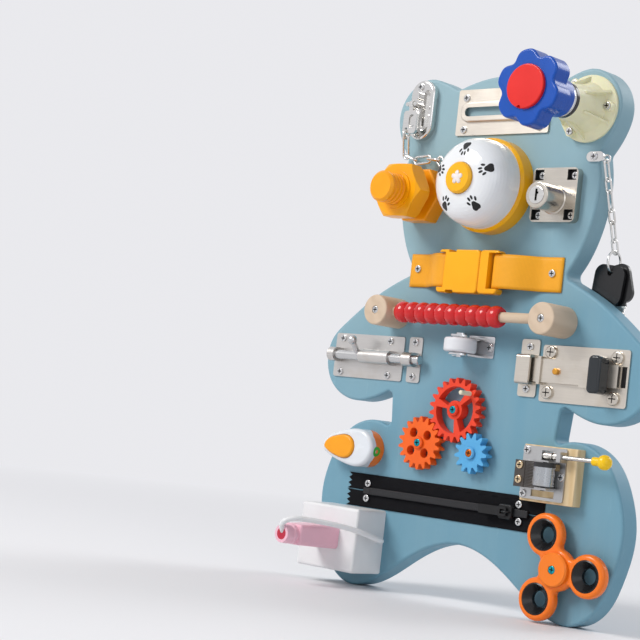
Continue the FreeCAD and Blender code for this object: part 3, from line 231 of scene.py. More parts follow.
def painted_wood():
    finish = Finish("painted_board", PAINT_DEEP_SHADED, 0.5)
    x, high, z = finish.axes()
    streaks = finish.noise(34, 6, (1, 1, 0.07), 0.6)
    clouds = finish.noise(9, 4)
    pores = finish.noise(420, 3, (1, 1, 0.05), 0.6)
    # Painted light: paler towards the upper left, deeper towards the feet and the right, with random
    # clouds of uneven paint.
    rise = ((z - 120) * 0.0055 - (x + 60) * 0.0032 + (clouds - 0.5) * 1.3).clamped()
    light = finish.mix(rise, PAINT_DEEP_SHADED, PAINT_PALE_LIT)
    tone = finish.mix((streaks * 1.5 - 0.45).clamped() * 0.5, light, shade(PAINT_PALE_LIT, 0.95))
    worn = ((pores - 0.66) * 5).clamped() * 0.35
    # Painted shadow: near black on the board under the flat bolt's end slot.
    in_x = x.above(END_SLOT_X[0]) * x.below(END_SLOT_X[1])
    in_z = z.above(END_SLOT_Z[0]) * z.below(END_SLOT_Z[1])
    slot = in_x * in_z * high.above(-1)
    painted = finish.mix(worn, tone, shade(PAINT_PALE_LIT, 1.3))
    finish.feed("Base Color", finish.mix(slot, painted, SLOT_SHADE))
    finish.feed("Roughness", 0.42 + clouds * 0.2)
    finish.bump(streaks * 0.6 + pores * 0.5, 0.30, 0.0006)
    return finish


dress("board", painted_wood())
print("board painted", len(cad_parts["board"].data.polygons), "faces")


# %% [markdown]
# Bare wood has rings that a cut turns into streaks. A wave texture bent by noise gives the
# bands, and a finer stretched noise gives the pores. The grain runs along one axis of each
# piece: along x for the dowel, up for the posts' faces and the pine block.

# %% Bare wood
def bare_wood(name, pale, dark, grain, band_scale=90.0):
    finish = Finish(name, pale)
    warp = finish.noise(24, 3, grain)
    bands = finish.add("ShaderNodeTexWave", {"wave_type": "BANDS", "bands_direction": "DIAGONAL"},
                       {"Vector": finish.place(grain), "Scale": band_scale, "Distortion": 5.0,
                        "Detail": 3.0, "Detail Scale": 1.4}, output=1)
    pores = finish.noise(900, 3, grain, 0.6)
    depth = (bands * 0.55 + warp * 0.5 - 0.1).clamped()
    colour = finish.mix(depth, pale, dark)
    open_pores = ((pores - 0.6) * 4).clamped() * 0.4
    finish.feed("Base Color", finish.mix(open_pores, colour, shade(dark, 0.8)))
    finish.feed("Roughness", 0.5 + warp * 0.12)
    finish.bump(pores * 0.5 + bands * 0.2, 0.22, 0.0003)
    return finish


BEECH = (0.66, 0.52, 0.39)
PINE = (0.80, 0.63, 0.39)
PINE_RING = (0.62, 0.43, 0.21)
dress("abacus_posts", bare_wood("beech_posts", BEECH, (0.56, 0.43, 0.31), (1, 0.12, 1), 45.0))
dress("abacus_dowel", bare_wood("beech_dowel", BEECH, (0.58, 0.45, 0.32), (0.08, 1, 1)))
dress("music_block", bare_wood("pine_block", PINE, PINE_RING, (1, 1, 0.12), 70.0))
print("posts, dowel and block are bare wood")


# %% [markdown]
# The beads are turned wood under thick red lacquer: a deep colour that hardly varies, a
# clear coat, and a faint unevenness that bends the highlights.

# %% Lacquered beads
def lacquer(name, colour):
    finish = Finish(name, colour, 0.22, 0.0, 0.4)
    mottle = finish.noise(140, 2)
    finish.feed("Base Color", finish.mix(mottle, shade(colour, 0.82), shade(colour, 1.12)))
    finish.feed("Roughness", 0.16 + mottle * 0.14)
    finish.bump(finish.noise(260, 2), 0.06, 0.0004)
    return finish


dress("beads", lacquer("bead_lacquer", (0.60, 0.008, 0.010)))
print("beads lacquered")


# %% [markdown]
# Moulded plastic is smooth but never perfect: the colour clouds slightly, the gloss changes
# where fingers rub it, and the skin has a very fine ripple.

# %% Moulded plastic
def plastic(name, colour, roughness=0.3, coat=0.15, ripple=0.06, grain=700.0):
    finish = Finish(name, colour, roughness, 0.0, coat)
    clouds = finish.noise(45, 3)
    skin = finish.noise(grain, 2)
    finish.feed("Base Color", finish.mix(clouds, shade(colour, 0.90), shade(colour, 1.08)))
    finish.feed("Roughness", roughness * 0.8 + clouds * roughness * 0.5)
    finish.bump(skin + clouds * 0.6, ripple, 0.0003)
    return finish


AMBER = (0.98, 0.385, 0.002)
YELLOW_AMBER = (0.95, 0.46, 0.006)
BLACK = (0.008, 0.008, 0.009)
dress("toy_bolt", plastic("nut_amber", (0.95, 0.36, 0.002), 0.30))
dress("nut_washer", plastic("washer_amber", shade(AMBER, 0.9), 0.34))
dress("toy_nut", plastic("nut_amber_light", (0.96, 0.40, 0.002), 0.30))
dress("bell_base", plastic("bell_amber", YELLOW_AMBER, 0.28))
dress("bell_button", plastic("bell_button_amber", YELLOW_AMBER, 0.28))
dress("buckle_socket", plastic("buckle_amber", (0.95, 0.43, 0.002), 0.33))
dress("buckle_tongue", plastic("buckle_amber_tongue", (0.95, 0.42, 0.002), 0.33))
dress("tap_knob", plastic("knob_blue", (0.0, 0.072, 0.42), 0.26))
dress("tap_cap", plastic("cap_red", (0.74, 0.012, 0.008), 0.30))
dress("roller_wheel", plastic("wheel_white", (0.74, 0.75, 0.78), 0.4, 0.1))
dress("gear_orange", plastic("gear_orange", (0.90, 0.13, 0.010), 0.42, 0.1))
dress("gear_blue", plastic("gear_blue", (0.10, 0.40, 0.72), 0.42, 0.1))
dress("clicker_button", plastic("clicker_amber", (0.93, 0.36, 0.008), 0.3))
dress("crank_knob", plastic("crank_yellow", (0.95, 0.58, 0.005), 0.26))
dress("spinner_body", plastic("spinner_orange", (0.92, 0.19, 0.010), 0.26))
dress("spinner_post", plastic("spinner_cap_orange", (0.92, 0.21, 0.012), 0.30))
dress("spinner_rings", plastic("ring_black", BLACK, 0.25))
dress("flat_bolt_knob", plastic("bolt_knob_smoke", (0.018, 0.022, 0.026), 0.14, 0.35))
dress("zipper_slider", plastic("slider_black", BLACK, 0.4, 0.1))
dress("socket_box", plastic("box_white", (0.78, 0.79, 0.80), 0.42, 0.1))
print("moulded pieces have their colours")


# %% [markdown]
# The tap's flange is cream nylon that lets some light in, so it gets a little subsurface
# colour besides the usual clouding.

# %% Cream flange
def cream_nylon():
    finish = plastic("flange_cream", (0.83, 0.80, 0.54), 0.38, 0.1, 0.10, 320.0)
    finish.surface.inputs["Subsurface Weight"].default_value = 0.25
    finish.surface.inputs["Subsurface Radius"].default_value = (0.004, 0.003, 0.0015)
    return finish


dress("ear_flange", cream_nylon())
print("flange lets some light in")


# %% [markdown]
# Two-coloured pieces need a mask. Object coordinates in millimetres are compared with the
# axis of the peg, pin, cap or hole that has the other colour, which is exact because a CAD
# node keeps the frame's axes.

# %% Masks by distance
def round_mask(finish, centre, radius):
    """1 inside a radius around a line that stands on the board at (x, z)."""
    x, _, z = finish.axes()
    dx = x - centre[0]
    dz = z - centre[1]
    return (dx * dx + dz * dz).root().below(radius)


def two_tone(finish, mask, colour, roughness=None, metallic=None):
    """Paints the masked part over what already feeds the surface."""
    surface = finish.surface
    under = surface.inputs["Base Color"].links[0].from_socket
    finish.feed("Base Color", finish.mix(mask, Wire(finish, under), colour))
    if roughness is not None:
        linked = surface.inputs["Roughness"].links
        base = Wire(finish, linked[0].from_socket)
        finish.feed("Roughness", base + mask * (roughness - base))
    if metallic is not None:
        linked = surface.inputs["Metallic"].links
        start = Wire(finish, linked[0].from_socket) if linked else surface.inputs["Metallic"].default_value
        finish.feed("Metallic", mask * (metallic - start) + start)
    return finish


PEG = (4.3, 152.6)
GEAR_FACE = 9.15
red_gear = plastic("gear_red", (0.82, 0.055, 0.018), 0.42, 0.1)
_, high, _ = red_gear.axes()
peg = round_mask(red_gear, PEG, 2.2) * high.above(GEAR_FACE)
dress("gear_red", two_tone(red_gear, peg, (0.80, 0.74, 0.55)))

GEAR_CENTRES = {"red": (-8.7, 139.8), "orange": (-38.92, 113.06), "blue": (10.30, 109.80)}
AXLE_REACH = 9
axle_caps = plastic("axle_caps", (0.80, 0.050, 0.016), 0.42, 0.1)
for gear, cap in (("orange", (0.88, 0.12, 0.010)), ("blue", (0.12, 0.42, 0.74))):
    two_tone(axle_caps, round_mask(axle_caps, GEAR_CENTRES[gear], AXLE_REACH), cap)
dress("gear_axles", axle_caps)

PLUG = (-99.5, 36.0)
PLUG_TIP = 78.5
pink_plug = plastic("plug_pink", (0.86, 0.50, 0.60), 0.36, 0.15)
_, high, _ = pink_plug.axes()
tip = round_mask(pink_plug, PLUG, 4.4) * high.above(PLUG_TIP)
dress("plug", two_tone(pink_plug, tip, (0.50, 0.02, 0.05)))

RING_HIGH, RING_Z = 8.0, 102.4
shell = plastic("clicker_white", (0.74, 0.78, 0.82), 0.25, 0.4)
x, high, z = shell.axes()
crescent = high.below((x + 97.0) * 0.72) * high.below(9.0)
two_tone(shell, crescent, (0.90, 0.20, 0.008))
over, along = high - RING_HIGH, z - RING_Z
away = (over * over + along * along).root()
ring = away.below(3.8) * away.above(1.5) * x.above(-90)
dress("clicker_shell", two_tone(shell, ring, (0.04, 0.42, 0.02)))

SEAL_TOP = 33.2
collar = Finish("collar", (0.62, 0.62, 0.63), 0.12, 1.0)
soft = collar.noise(60, 2)
_, high, _ = collar.axes()
collar.feed("Base Color", collar.mix(high.below(SEAL_TOP), (0.72, 0.72, 0.73), (0.012, 0.012, 0.012)))
collar.feed("Metallic", high.above(SEAL_TOP))
collar.feed("Roughness", 0.10 + soft * 0.12)
dress("tap_collar", collar)
print("two-coloured pieces masked")


# %% [markdown]
# The hardware is plated steel. Satin nickel is brushed along the plate, so noise drawn out
# along x gives fine lines in the roughness and bump. Polished plating is the same recipe with
# faint lines, and a little tarnish that warms the colour.

# %% Plated metal
def plated(name, colour, roughness, brushed=0.25, along=(0.03, 1, 1), tarnish=(0.42, 0.33, 0.22)):
    finish = Finish(name, colour, roughness, 1.0)
    lines = finish.noise(1500, 4, along, 0.65)
    smudge = finish.noise(55, 4)
    patina = ((finish.noise(30, 5) - 0.56) * 4).clamped() * 0.45
    tone = finish.mix(lines, shade(colour, 0.86), shade(colour, 1.06))
    finish.feed("Base Color", finish.mix(patina, tone, tarnish))
    finish.feed("Roughness", roughness * 0.7 + smudge * roughness * 0.5 + lines * brushed * 0.25)
    finish.bump(lines, brushed, 0.00015)
    return finish


NICKEL = (0.66, 0.61, 0.54)
ZINC = (0.60, 0.60, 0.60)
CHROME = (0.76, 0.75, 0.73)
dress("track_plate", plated("track_nickel", (0.72, 0.66, 0.58), 0.30))
dress("chain_plate", plated("shackle_chrome", CHROME, 0.10, 0.04))
dress("door_chain", plated("door_chain_nickel", CHROME, 0.16, 0.05))
LOCK_POCKETS = ((43.3, 312.8), (71.6, 312.8), (43.3, 284.2), (71.6, 284.2))
POCKET_HALF = 3.85
LOCK_FACE = 5.7
lock_metal = plated("lock_nickel", (0.60, 0.56, 0.50), 0.24, 0.12)
x, high, z = lock_metal.axes()
# The four pockets recessed behind the plate's face are painted near black: painted shade in the recesses.
for px, pz in LOCK_POCKETS:
    dx, dz = x - px, z - pz
    painted_pocket_shade = (dx * dx).below(POCKET_HALF ** 2) * (dz * dz).below(POCKET_HALF ** 2)
    two_tone(lock_metal, painted_pocket_shade * high.below(LOCK_FACE), (0.02, 0.02, 0.02), 0.4, 0.0)
dress("lock_body", lock_metal)
dress("lock_plug", plated("lock_plug_bright", CHROME, 0.16, 0.06))
dress("key_hook", plated("hook_nickel", CHROME, 0.18, 0.05))
dress("key_chain", plated("key_chain_nickel", CHROME, 0.16, 0.05))
dress("rod_bolt_plate", plated("bolt_plate_zinc", (0.62, 0.60, 0.58), 0.32))
dress("rod_bolt", plated("rod_zinc", ZINC, 0.24, 0.12))
dress("rod_keeper", plated("keeper_zinc", (0.62, 0.60, 0.58), 0.32))
dress("roller_bracket", plated("bracket_zinc", (0.70, 0.70, 0.71), 0.18, 0.08))
dress("flat_bolt_plate", plated("flat_plate_nickel", NICKEL, 0.30))
dress("flat_keeper", plated("flat_keeper_nickel", NICKEL, 0.30))
dress("music_frame", plated("cast_frame", (0.50, 0.50, 0.50), 0.34, 0.1, (1, 1, 1)))
dress("music_comb", plated("comb_steel", (0.105, 0.095, 0.088), 0.32))
DRUM_ENDS = (93.9, 106.8)
drum_steel = plated("drum_steel", (0.46, 0.48, 0.50), 0.26, 0.15, (1, 1, 0.05))
_, _, z = drum_steel.axes()
drum_caps = z.above(DRUM_ENDS[1]) + z.below(DRUM_ENDS[0])
dress("music_drum", two_tone(drum_steel, drum_caps, (0.012, 0.012, 0.013), 0.4, 0.0))
dress("crank_shaft", plated("shaft_steel", (0.62, 0.60, 0.57), 0.22, 0.1))
dress("bell_spring", plated("spring_steel", ZINC, 0.22, 0.05))
SPINNER = (96.8, 38.2)
COMB_SCREWS = ((61.8, 96.5), (61.8, 106.5))
SCREW_REACH = 3.4
TEAL, RUST, PALE_BRASS = (0.02, 0.34, 0.42), (0.62, 0.16, 0.03), (0.72, 0.56, 0.36)
screw_zinc = plated("small_screw_zinc", (0.66, 0.66, 0.66), 0.22, 0.06, (1, 1, 1))
coloured = [(GEAR_CENTRES["red"], TEAL), (GEAR_CENTRES["orange"], TEAL), (SPINNER, TEAL),
            (GEAR_CENTRES["blue"], RUST)] + [(place, PALE_BRASS) for place in COMB_SCREWS]
for place, tint in coloured:
    two_tone(screw_zinc, round_mask(screw_zinc, place, SCREW_REACH), tint)
dress("small_screws", screw_zinc)
dress("pan_screws", plated("pan_screw_nickel", NICKEL, 0.22, 0.06, (1, 1, 1)))
dress("long_screws", plated("long_screw_zinc", (0.66, 0.66, 0.66), 0.22, 0.06, (1, 1, 1)))
BRASS_PIN = (75.6, 173.6)
SLIDE_FACE = 5.12
slide_metal = plated("slide_nickel", NICKEL, 0.28)
_, high, _ = slide_metal.axes()
brass = round_mask(slide_metal, BRASS_PIN, 2.5) * high.above(SLIDE_FACE)
dress("flat_bolt_slide", two_tone(slide_metal, brass, (0.70, 0.34, 0.06)))

KEY_HEAD_FOOT = 224.2
key_metal = plated("key_blades", CHROME, 0.2, 0.08, (1, 1, 0.05))
_, _, z = key_metal.axes()
dress("keys", two_tone(key_metal, z.above(KEY_HEAD_FOOT), BLACK, 0.22, 0.0))
print("plated pieces and", len(coloured), "coloured screws")


# %% [markdown]
# Pieces that the frame lacks are made from points and faces by one helper, which leaves the
# object at the origin, unturned, as the frame's own nodes are. It merges doubled points and
# turns the faces outwards. A second helper works a piece's modifiers into a plain mesh.

# %% Mesh helper
def mesh_piece(name, points, faces, finish, smooth=True):
    mesh = bpy.data.meshes.new(name)
    mesh.from_pydata([tuple(p) for p in points], [], faces)
    mesh.update()
    piece = bpy.data.objects.new(name, mesh)
    bpy.context.scene.collection.objects.link(piece)
    tidy = bmesh.new()
    tidy.from_mesh(mesh)
    bmesh.ops.remove_doubles(tidy, verts=tidy.verts, dist=1e-7)
    bmesh.ops.recalc_face_normals(tidy, faces=tidy.faces)
    tidy.to_mesh(mesh)
    tidy.free()
    for face in mesh.polygons:
        face.use_smooth = smooth
    mesh.materials.append(finish.material)
    return piece


def baked(piece, name):
    """The piece with its modifiers worked in, as a plain mesh, in place of the old one."""
    graph = bpy.context.evaluated_depsgraph_get()
    mesh = bpy.data.meshes.new_from_object(piece.evaluated_get(graph))
    mesh.name = name
    result = bpy.data.objects.new(name, mesh)
    bpy.context.scene.collection.objects.link(result)
    bpy.data.objects.remove(piece)
    return result


# %% [markdown]
# The bell's dome is enamelled white, with little black paws around its button. Each paw is a
# main pad and four toes. A pad is a round patch, laid on the dome by the formula that shapes
# the dome itself and lifted by a tenth of a millimetre, like a transfer.

# %% Bell dome and paws
BELL = (-0.5, 305.0)
DOME_R = 32.8
DOME_RISE = 28.5
DOME_FOOT = 13.5
DOME_SHOULDER = 3.1
PAW_SIZE = 4.6
PAW_FROM_MIDDLE = 21.5
PAD_CORNER = 0.16


def enamel():
    finish = Finish("bell_enamel", (0.80, 0.82, 0.84), 0.16, 0.0, 0.5)
    clouds = finish.noise(30, 3)
    finish.feed("Base Color", finish.mix(clouds, (0.76, 0.79, 0.82), (0.84, 0.85, 0.86)))
    finish.feed("Roughness", 0.12 + clouds * 0.12)
    finish.bump(finish.noise(120, 2), 0.05, 0.0005)
    return finish


def on_dome(east, north, lift=0.10):
    """A point of the dome's skin above the offset (east, north) from its middle, in mm."""
    far = min(math.hypot(east, north) / DOME_R, 1.0)
    rise = DOME_RISE * (1 - far ** DOME_SHOULDER) ** (1 / DOME_SHOULDER)
    return spot(BELL[0] + east, DOME_FOOT + rise + lift, BELL[1] + north)


def pad_rim(share, wide, tall, corner):
    """A point of a pad's outline: an oval, or a rounded triangle when it has a corner."""
    a = 2 * math.pi * share
    reach = 1 + corner * math.cos(3 * (a - math.pi / 2))
    return Vector((wide * reach * math.cos(a), tall * reach * math.sin(a)))


def paw_pads():
    """The five pads of a paw, its toes upwards: (place, half width, half height, lean, corner)."""
    pads = [(Vector((0.0, -0.62)), 0.66, 0.66, 0.0, PAD_CORNER)]
    for toe, (dx, dz) in enumerate(((-0.74, 0.22), (-0.27, 0.72), (0.27, 0.72), (0.74, 0.22))):
        pads.append((Vector((dx, dz)), 0.19, 0.36, 0.28 * (1.5 - toe), 0))
    return pads


def paws(finish):
    """Five paws round the button, their toes towards it."""
    points, faces = [], []
    steps = 24
    for paw in range(5):
        angle = math.radians(90 + 72 * paw)
        centre = Vector((math.cos(angle), math.sin(angle))) * PAW_FROM_MIDDLE
        turn = Matrix.Rotation(angle + math.pi / 2, 2)
        for place, wide, tall, lean, corner in paw_pads():
            start = len(points)
            middle = centre + turn @ place * PAW_SIZE
            points.append(on_dome(*middle))
            for k in range(steps):
                rim = Matrix.Rotation(lean, 2) @ pad_rim(k / steps, wide, tall, corner)
                points.append(on_dome(*(middle + turn @ rim * PAW_SIZE)))
            faces += [(start, start + 1 + k, start + 1 + (k + 1) % steps) for k in range(steps)]
    return mesh_piece("bell_paws", points, faces, finish)


dress("bell_dome", enamel())
paw_prints = paws(plastic("paw_black", BLACK, 0.4, 0.1))
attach(paw_prints, BOARD)
print("paw faces", len(paw_prints.data.polygons))


# %% [markdown]
# The bell's button carries a small pale flower in relief: five round petals around a middle.
# Its outline is one formula, a cosine that never goes below zero, so rings of points at three
# heights make it, each ring a share of that outline.

# %% Flower on the button
BUTTON_TOP = 44.8
FLOWER_RINGS = ((0.55, 0.65), (0.9, 0.45), (1.0, 0.0))


def flower(finish):
    points, faces = [spot(BELL[0], BUTTON_TOP + 0.7, BELL[1])], []
    steps = 60
    for share, lift in FLOWER_RINGS:
        for k in range(steps):
            a = 2 * math.pi * k / steps
            petal = abs(math.cos(2.5 * (a - math.pi / 2))) ** 0.55
            reach = (2.5 + 2.7 * petal) * share
            points.append(spot(BELL[0] + reach * math.cos(a), BUTTON_TOP + lift,
                               BELL[1] + reach * math.sin(a)))
    outer = 1 + (len(FLOWER_RINGS) - 1) * steps
    for k in range(steps):
        n = (k + 1) % steps
        faces.append((0, 1 + k, 1 + n))
        faces += [(here + k, here + steps + k, here + steps + n, here + n)
                  for here in range(1, outer, steps)]
    faces.append(tuple(range(outer, outer + steps)))
    return mesh_piece("button_flower", points, faces, finish)


button_flower = flower(plastic("flower_cream", (0.84, 0.76, 0.74), 0.35))
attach(button_flower, "bell_push")
print("flower faces", len(button_flower.data.polygons))


# %% [markdown]
# The strap is amber polyester webbing. It lies on the board at its screw, bows out and wraps
# the buckle's bar. A strip is drawn along that path with a thickness, and its material reads
# the strip's own UV map, so that the weave's ribs follow the bend.

# %% Webbing
def webbing_finish(name, colour):
    finish = Finish(name, colour, 0.55)
    uv = finish.add("ShaderNodeUVMap", {"uv_map": "weave"})
    run = finish.add("ShaderNodeSeparateXYZ", None, {0: uv})
    across = Wire(finish, run.socket.node.outputs[1])
    ribs = (run * 6600).sine() * 0.5 + 0.5
    yarns = (across * 7600).sine() * 0.5 + 0.5
    weave = ribs * yarns
    clouds = finish.noise(60, 3)
    lit = (weave * 0.8 + clouds * 0.3).clamped()
    finish.feed("Base Color", finish.mix(lit, shade(colour, 0.84), shade(colour, 1.08)))
    finish.feed("Roughness", 0.36 + clouds * 0.16)
    finish.bump(weave, 0.3, 0.0002)
    return finish


def strip(name, path, width, thick, middle_z, finish, cells=10):
    """A strap along a path of (x, high) points in mm, as a closed flat tube with its UV map."""
    points, faces, uv = [], [], []
    length = 0.0
    lengths = [0.0]
    for (x0, h0), (x1, h1) in zip(path, path[1:]):
        length += math.hypot(x1 - x0, h1 - h0)
        lengths.append(length)
    loop = [(k / cells - 0.5, 0.5) for k in range(cells + 1)]
    loop += [(k / cells - 0.5, -0.5) for k in range(cells, -1, -1)]
    count = len(loop)
    for i, (x, high) in enumerate(path):
        before = path[max(i - 1, 0)]
        after = path[min(i + 1, len(path) - 1)]
        run = Vector((after[0] - before[0], after[1] - before[1])).normalized()
        for across, side in loop:
            edge = 1.0 - 0.35 * (abs(across) > 0.46)
            off = side * thick * edge
            points.append(spot(x - run.y * off, high + run.x * off, middle_z + across * width))
            uv.append((lengths[i] * MM, across * width * MM))
    for i in range(len(path) - 1):
        for k in range(count):
            a, b = i * count + k, i * count + (k + 1) % count
            faces.append((a, b, b + count, a + count))
    faces.append(tuple(range(count)))
    faces.append(tuple((len(path) - 1) * count + k for k in range(count)))
    piece = mesh_piece(name, points, faces, finish)
    layer = piece.data.uv_layers.new(name="weave")
    nearest = {tuple(round(c, 6) for c in p): t for p, t in zip(points, uv)}
    for corner in piece.data.loops:
        place = tuple(round(c, 6) for c in piece.data.vertices[corner.vertex_index].co)
        layer.data[corner.index].uv = nearest.get(place, (0, 0))
    return piece, length


BAR_HIGH = 9.5
WRAP_R = 2.35
STRAP_LOW = 0.72
STRAP_WIDE = 25.0
STRAP_THICK = 1.3
STRAP_Z = 242.0


def strap_path(start_x, bar_x, bow):
    """Flat at the screw, a bowed rise over the front of the bar, then once round the bar."""
    side = 1 if bar_x > start_x else -1
    rise_from, rise_to = start_x + side * 14, bar_x - side * 2
    path = [(start_x + (rise_from - start_x) * k / 5, STRAP_LOW) for k in range(6)]
    steps = 22
    climb = BAR_HIGH + WRAP_R - STRAP_LOW
    for k in range(1, steps + 1):
        t = k / steps
        high = STRAP_LOW + climb * (3 * t * t - 2 * t ** 3) + bow * math.sin(math.pi * t) ** 2
        path.append((rise_from + (rise_to - rise_from) * t, high))
    for k in range(19):
        a = math.radians(90 - 14 * k)
        path.append((bar_x + side * WRAP_R * math.cos(a), BAR_HIGH + WRAP_R * math.sin(a)))
    return path


WEB_AMBER = (0.93, 0.41, 0.016)
straps = []
for name, start_x, bar_x, bow in (("strap_left", -72.0, -31.6, 0.8),
                                  ("strap_right", 69.0, 17.0, 2.0)):
    piece, run = strip("web_" + name, strap_path(start_x, bar_x, bow), STRAP_WIDE, STRAP_THICK,
                       STRAP_Z, webbing_finish("webbing_" + name, WEB_AMBER))
    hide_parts(name)
    straps.append((piece, run))
    print(name, "runs", round(run, 1), "mm")
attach(straps[0][0], BOARD)
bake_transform(straps[1][0], "buckle_end", BOARD, start=spot(24, 11, STRAP_Z), end=spot(54, 1, STRAP_Z))


# %% [markdown]
# The zipper's tapes are black herringbone twill with pinked ends. Each tape is a thin sheet
# with a gentle ripple, and the twill is a diagonal wave in its bump.

# %% Zipper tapes
def twill():
    finish = Finish("zipper_twill", (0.010, 0.010, 0.012), 0.75, specular=0.08)
    x, _, z = finish.axes()
    diagonal = ((x + z) * 7.0).sine() * 0.5 + 0.5
    counter = ((x - z) * 7.0).sine() * 0.5 + 0.5
    weave = diagonal * counter
    fluff = finish.noise(900, 3)
    lit = (weave * 0.6 + fluff * 0.4).clamped()
    finish.feed("Base Color", finish.mix(lit, (0.004, 0.004, 0.005), (0.014, 0.014, 0.017)))
    finish.feed("Roughness", 0.62 + fluff * 0.2)
    finish.bump(weave + fluff * 0.4, 0.5, 0.0003)
    return finish


TAPE_LEFT = -112.0
TAPE_RIGHT = 74.8
CUT_RIGHT = 57.2
CUT_Z = 81.6
PINKED = 3.4
TAPE_CELLS = (92, 12)


def tape_sheet(name, z0, z1, finish):
    """One half of the tape: a grid with a ripple, and three pinked points at its left end.
    Above CUT_Z its right end is cut short, beside the music box."""
    along_count, cells = TAPE_CELLS
    rows = [z0 + (z1 - z0) * j / cells for j in range(cells + 1)]
    if z0 < CUT_Z < z1:
        rows = sorted([z for z in rows if abs(z - CUT_Z) > 0.4] + [CUT_Z, CUT_Z + 0.3])
    across = len(rows) - 1
    top, bottom = [], []
    for z in rows:
        tooth = abs(((z - z0) / (z1 - z0) * 3) % 1 - 0.5) * 2
        left = TAPE_LEFT + PINKED * (1 - tooth)
        right_end = CUT_RIGHT if z > CUT_Z else TAPE_RIGHT
        for i in range(along_count + 1):
            x = left + (right_end - left) * i / along_count
            ripple = 0.16 * math.sin(x * 0.21 + z * 0.35) + 0.10 * math.sin(x * 0.53 - z * 0.2)
            top.append(spot(x, 0.74 + ripple, z))
            bottom.append(spot(x, 0.02, z))
    wide = along_count + 1
    total = len(top)
    faces = []
    for j in range(across):
        for i in range(along_count):
            a = j * wide + i
            faces.append((a, a + 1, a + wide + 1, a + wide))
            faces.append((total + a, total + a + wide, total + a + wide + 1, total + a + 1))
    border = list(range(wide))
    border += [j * wide + along_count for j in range(1, across + 1)]
    border += [across * wide + i for i in range(along_count - 1, -1, -1)]
    border += [j * wide for j in range(across - 1, 0, -1)]
    for a, b in zip(border, border[1:] + border[:1]):
        faces.append((a, b, total + b, total + a))
    return mesh_piece(name, top + bottom, faces, finish)


twill_cloth = twill()
for name, z0, z1 in (("tape_lower", 59.6, 71.7), ("tape_upper", 72.5, 84.6)):
    tape = tape_sheet(name, z0, z1, twill_cloth)
    print(name, len(tape.data.polygons), "faces")
    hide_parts("zipper_tape")
    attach(tape, BOARD)


# %% [markdown]
# A nylon zipper closes with two rows of small teeth, set by turns to each side of the middle.
# Geometry Nodes repeat one tooth along a line, which is the real thing's own rule: the count,
# the pitch and the tooth's size are inputs of the tree.

# %% Row maker
def open_tree(name, inputs):
    """A Geometry Nodes tree with these named inputs, and the node that hands them out."""
    tree = bpy.data.node_groups.new(name, "GeometryNodeTree")
    for label, kind in inputs:
        tree.interface.new_socket(label, in_out="INPUT", socket_type="NodeSocket" + kind)
    tree.interface.new_socket("Geometry", in_out="OUTPUT", socket_type="NodeSocketGeometry")
    return tree, tree.nodes.new("NodeGroupInput")


def block_copies(tree, given, points):
    """Ends a tree: a block of the given size on every point, made real and painted."""
    block = tree.nodes.new("GeometryNodeMeshCube")
    copies = tree.nodes.new("GeometryNodeInstanceOnPoints")
    real = tree.nodes.new("GeometryNodeRealizeInstances")
    paint = tree.nodes.new("GeometryNodeSetMaterial")
    result = tree.nodes.new("NodeGroupOutput")
    for source, target in ((points, copies.inputs["Points"]),
                           (given.outputs["Size"], block.inputs["Size"]),
                           (block.outputs["Mesh"], copies.inputs["Instance"]),
                           (copies.outputs["Instances"], real.inputs["Geometry"]),
                           (real.outputs["Geometry"], paint.inputs["Geometry"]),
                           (given.outputs["Material"], paint.inputs["Material"]),
                           (paint.outputs["Geometry"], result.inputs["Geometry"])):
        tree.links.new(source, target)
    return tree


def row_tree(name):
    """Copies of a block in a row: how many, from where and how far apart are its inputs."""
    tree, given = open_tree(name, (("Geometry", "Geometry"), ("Count", "Int"), ("Start", "Vector"),
                                   ("Step", "Vector"), ("Size", "Vector"), ("Material", "Material")))
    line = tree.nodes.new("GeometryNodeMeshLine")
    for source, target in (("Count", "Count"), ("Start", "Start Location"), ("Step", "Offset")):
        tree.links.new(given.outputs[source], line.inputs[target])
    return block_copies(tree, given, line.outputs["Mesh"])


def repeated(name, tree, values, bevel, places=()):
    """A plain mesh from the tree with these named inputs, its edges bevelled."""
    mesh = bpy.data.meshes.new(name + "_maker")
    mesh.from_pydata(list(places), [], [])
    host = bpy.data.objects.new(name + "_maker", mesh)
    bpy.context.scene.collection.objects.link(host)
    maker = host.modifiers.new("maker", "NODES")
    maker.node_group = tree
    sockets = {item.name: item.identifier for item in tree.interface.items_tree
               if item.in_out == "INPUT"}
    for key, value in values.items():
        maker[sockets[key]] = value
    if bevel:
        rounding = host.modifiers.new("rounding", "BEVEL")
        rounding.width = bevel
        rounding.segments = 2
    return baked(host, name)


TOOTH_PITCH = 2.0
TOOTH_COUNT = 73
TOOTH_SIZE = (0.00145, 0.0018, 0.0031)
TEETH_LEFT, TEETH_HIGH, TEETH_Z = -85.6, 2.35, 72.1
TOOTH_ASIDE = 1.15
teeth_tree = row_tree("teeth_row")
nylon = plastic("zipper_nylon", (0.012, 0.012, 0.014), 0.35, 0.2)
for name, side, phase in (("teeth_lower", -1, 0.0), ("teeth_upper", 1, 0.5)):
    first = spot(TEETH_LEFT + phase * TOOTH_PITCH, TEETH_HIGH, TEETH_Z + side * TOOTH_ASIDE)
    row = repeated(name, teeth_tree, {"Count": TOOTH_COUNT, "Start": tuple(first),
                                      "Step": (TOOTH_PITCH * MM, 0, 0), "Size": TOOTH_SIZE,
                                      "Material": nylon.material}, 0.0003)
    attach(row, BOARD)
    print(name, len(row.data.polygons), "faces")
dress("zipper_teeth", nylon)


# %% [markdown]
# A screw's cross slot lies in shade, which is what makes a screw read as a screw. Two thin
# near-black bars lie on the floor of each slot as painted shade. Their places are found from
# the frame's own screws: the corners of a node's triangles are sorted into small square cells,
# cells that touch make one screw, and its wide end is its head. Geometry Nodes set a bar on
# every place.

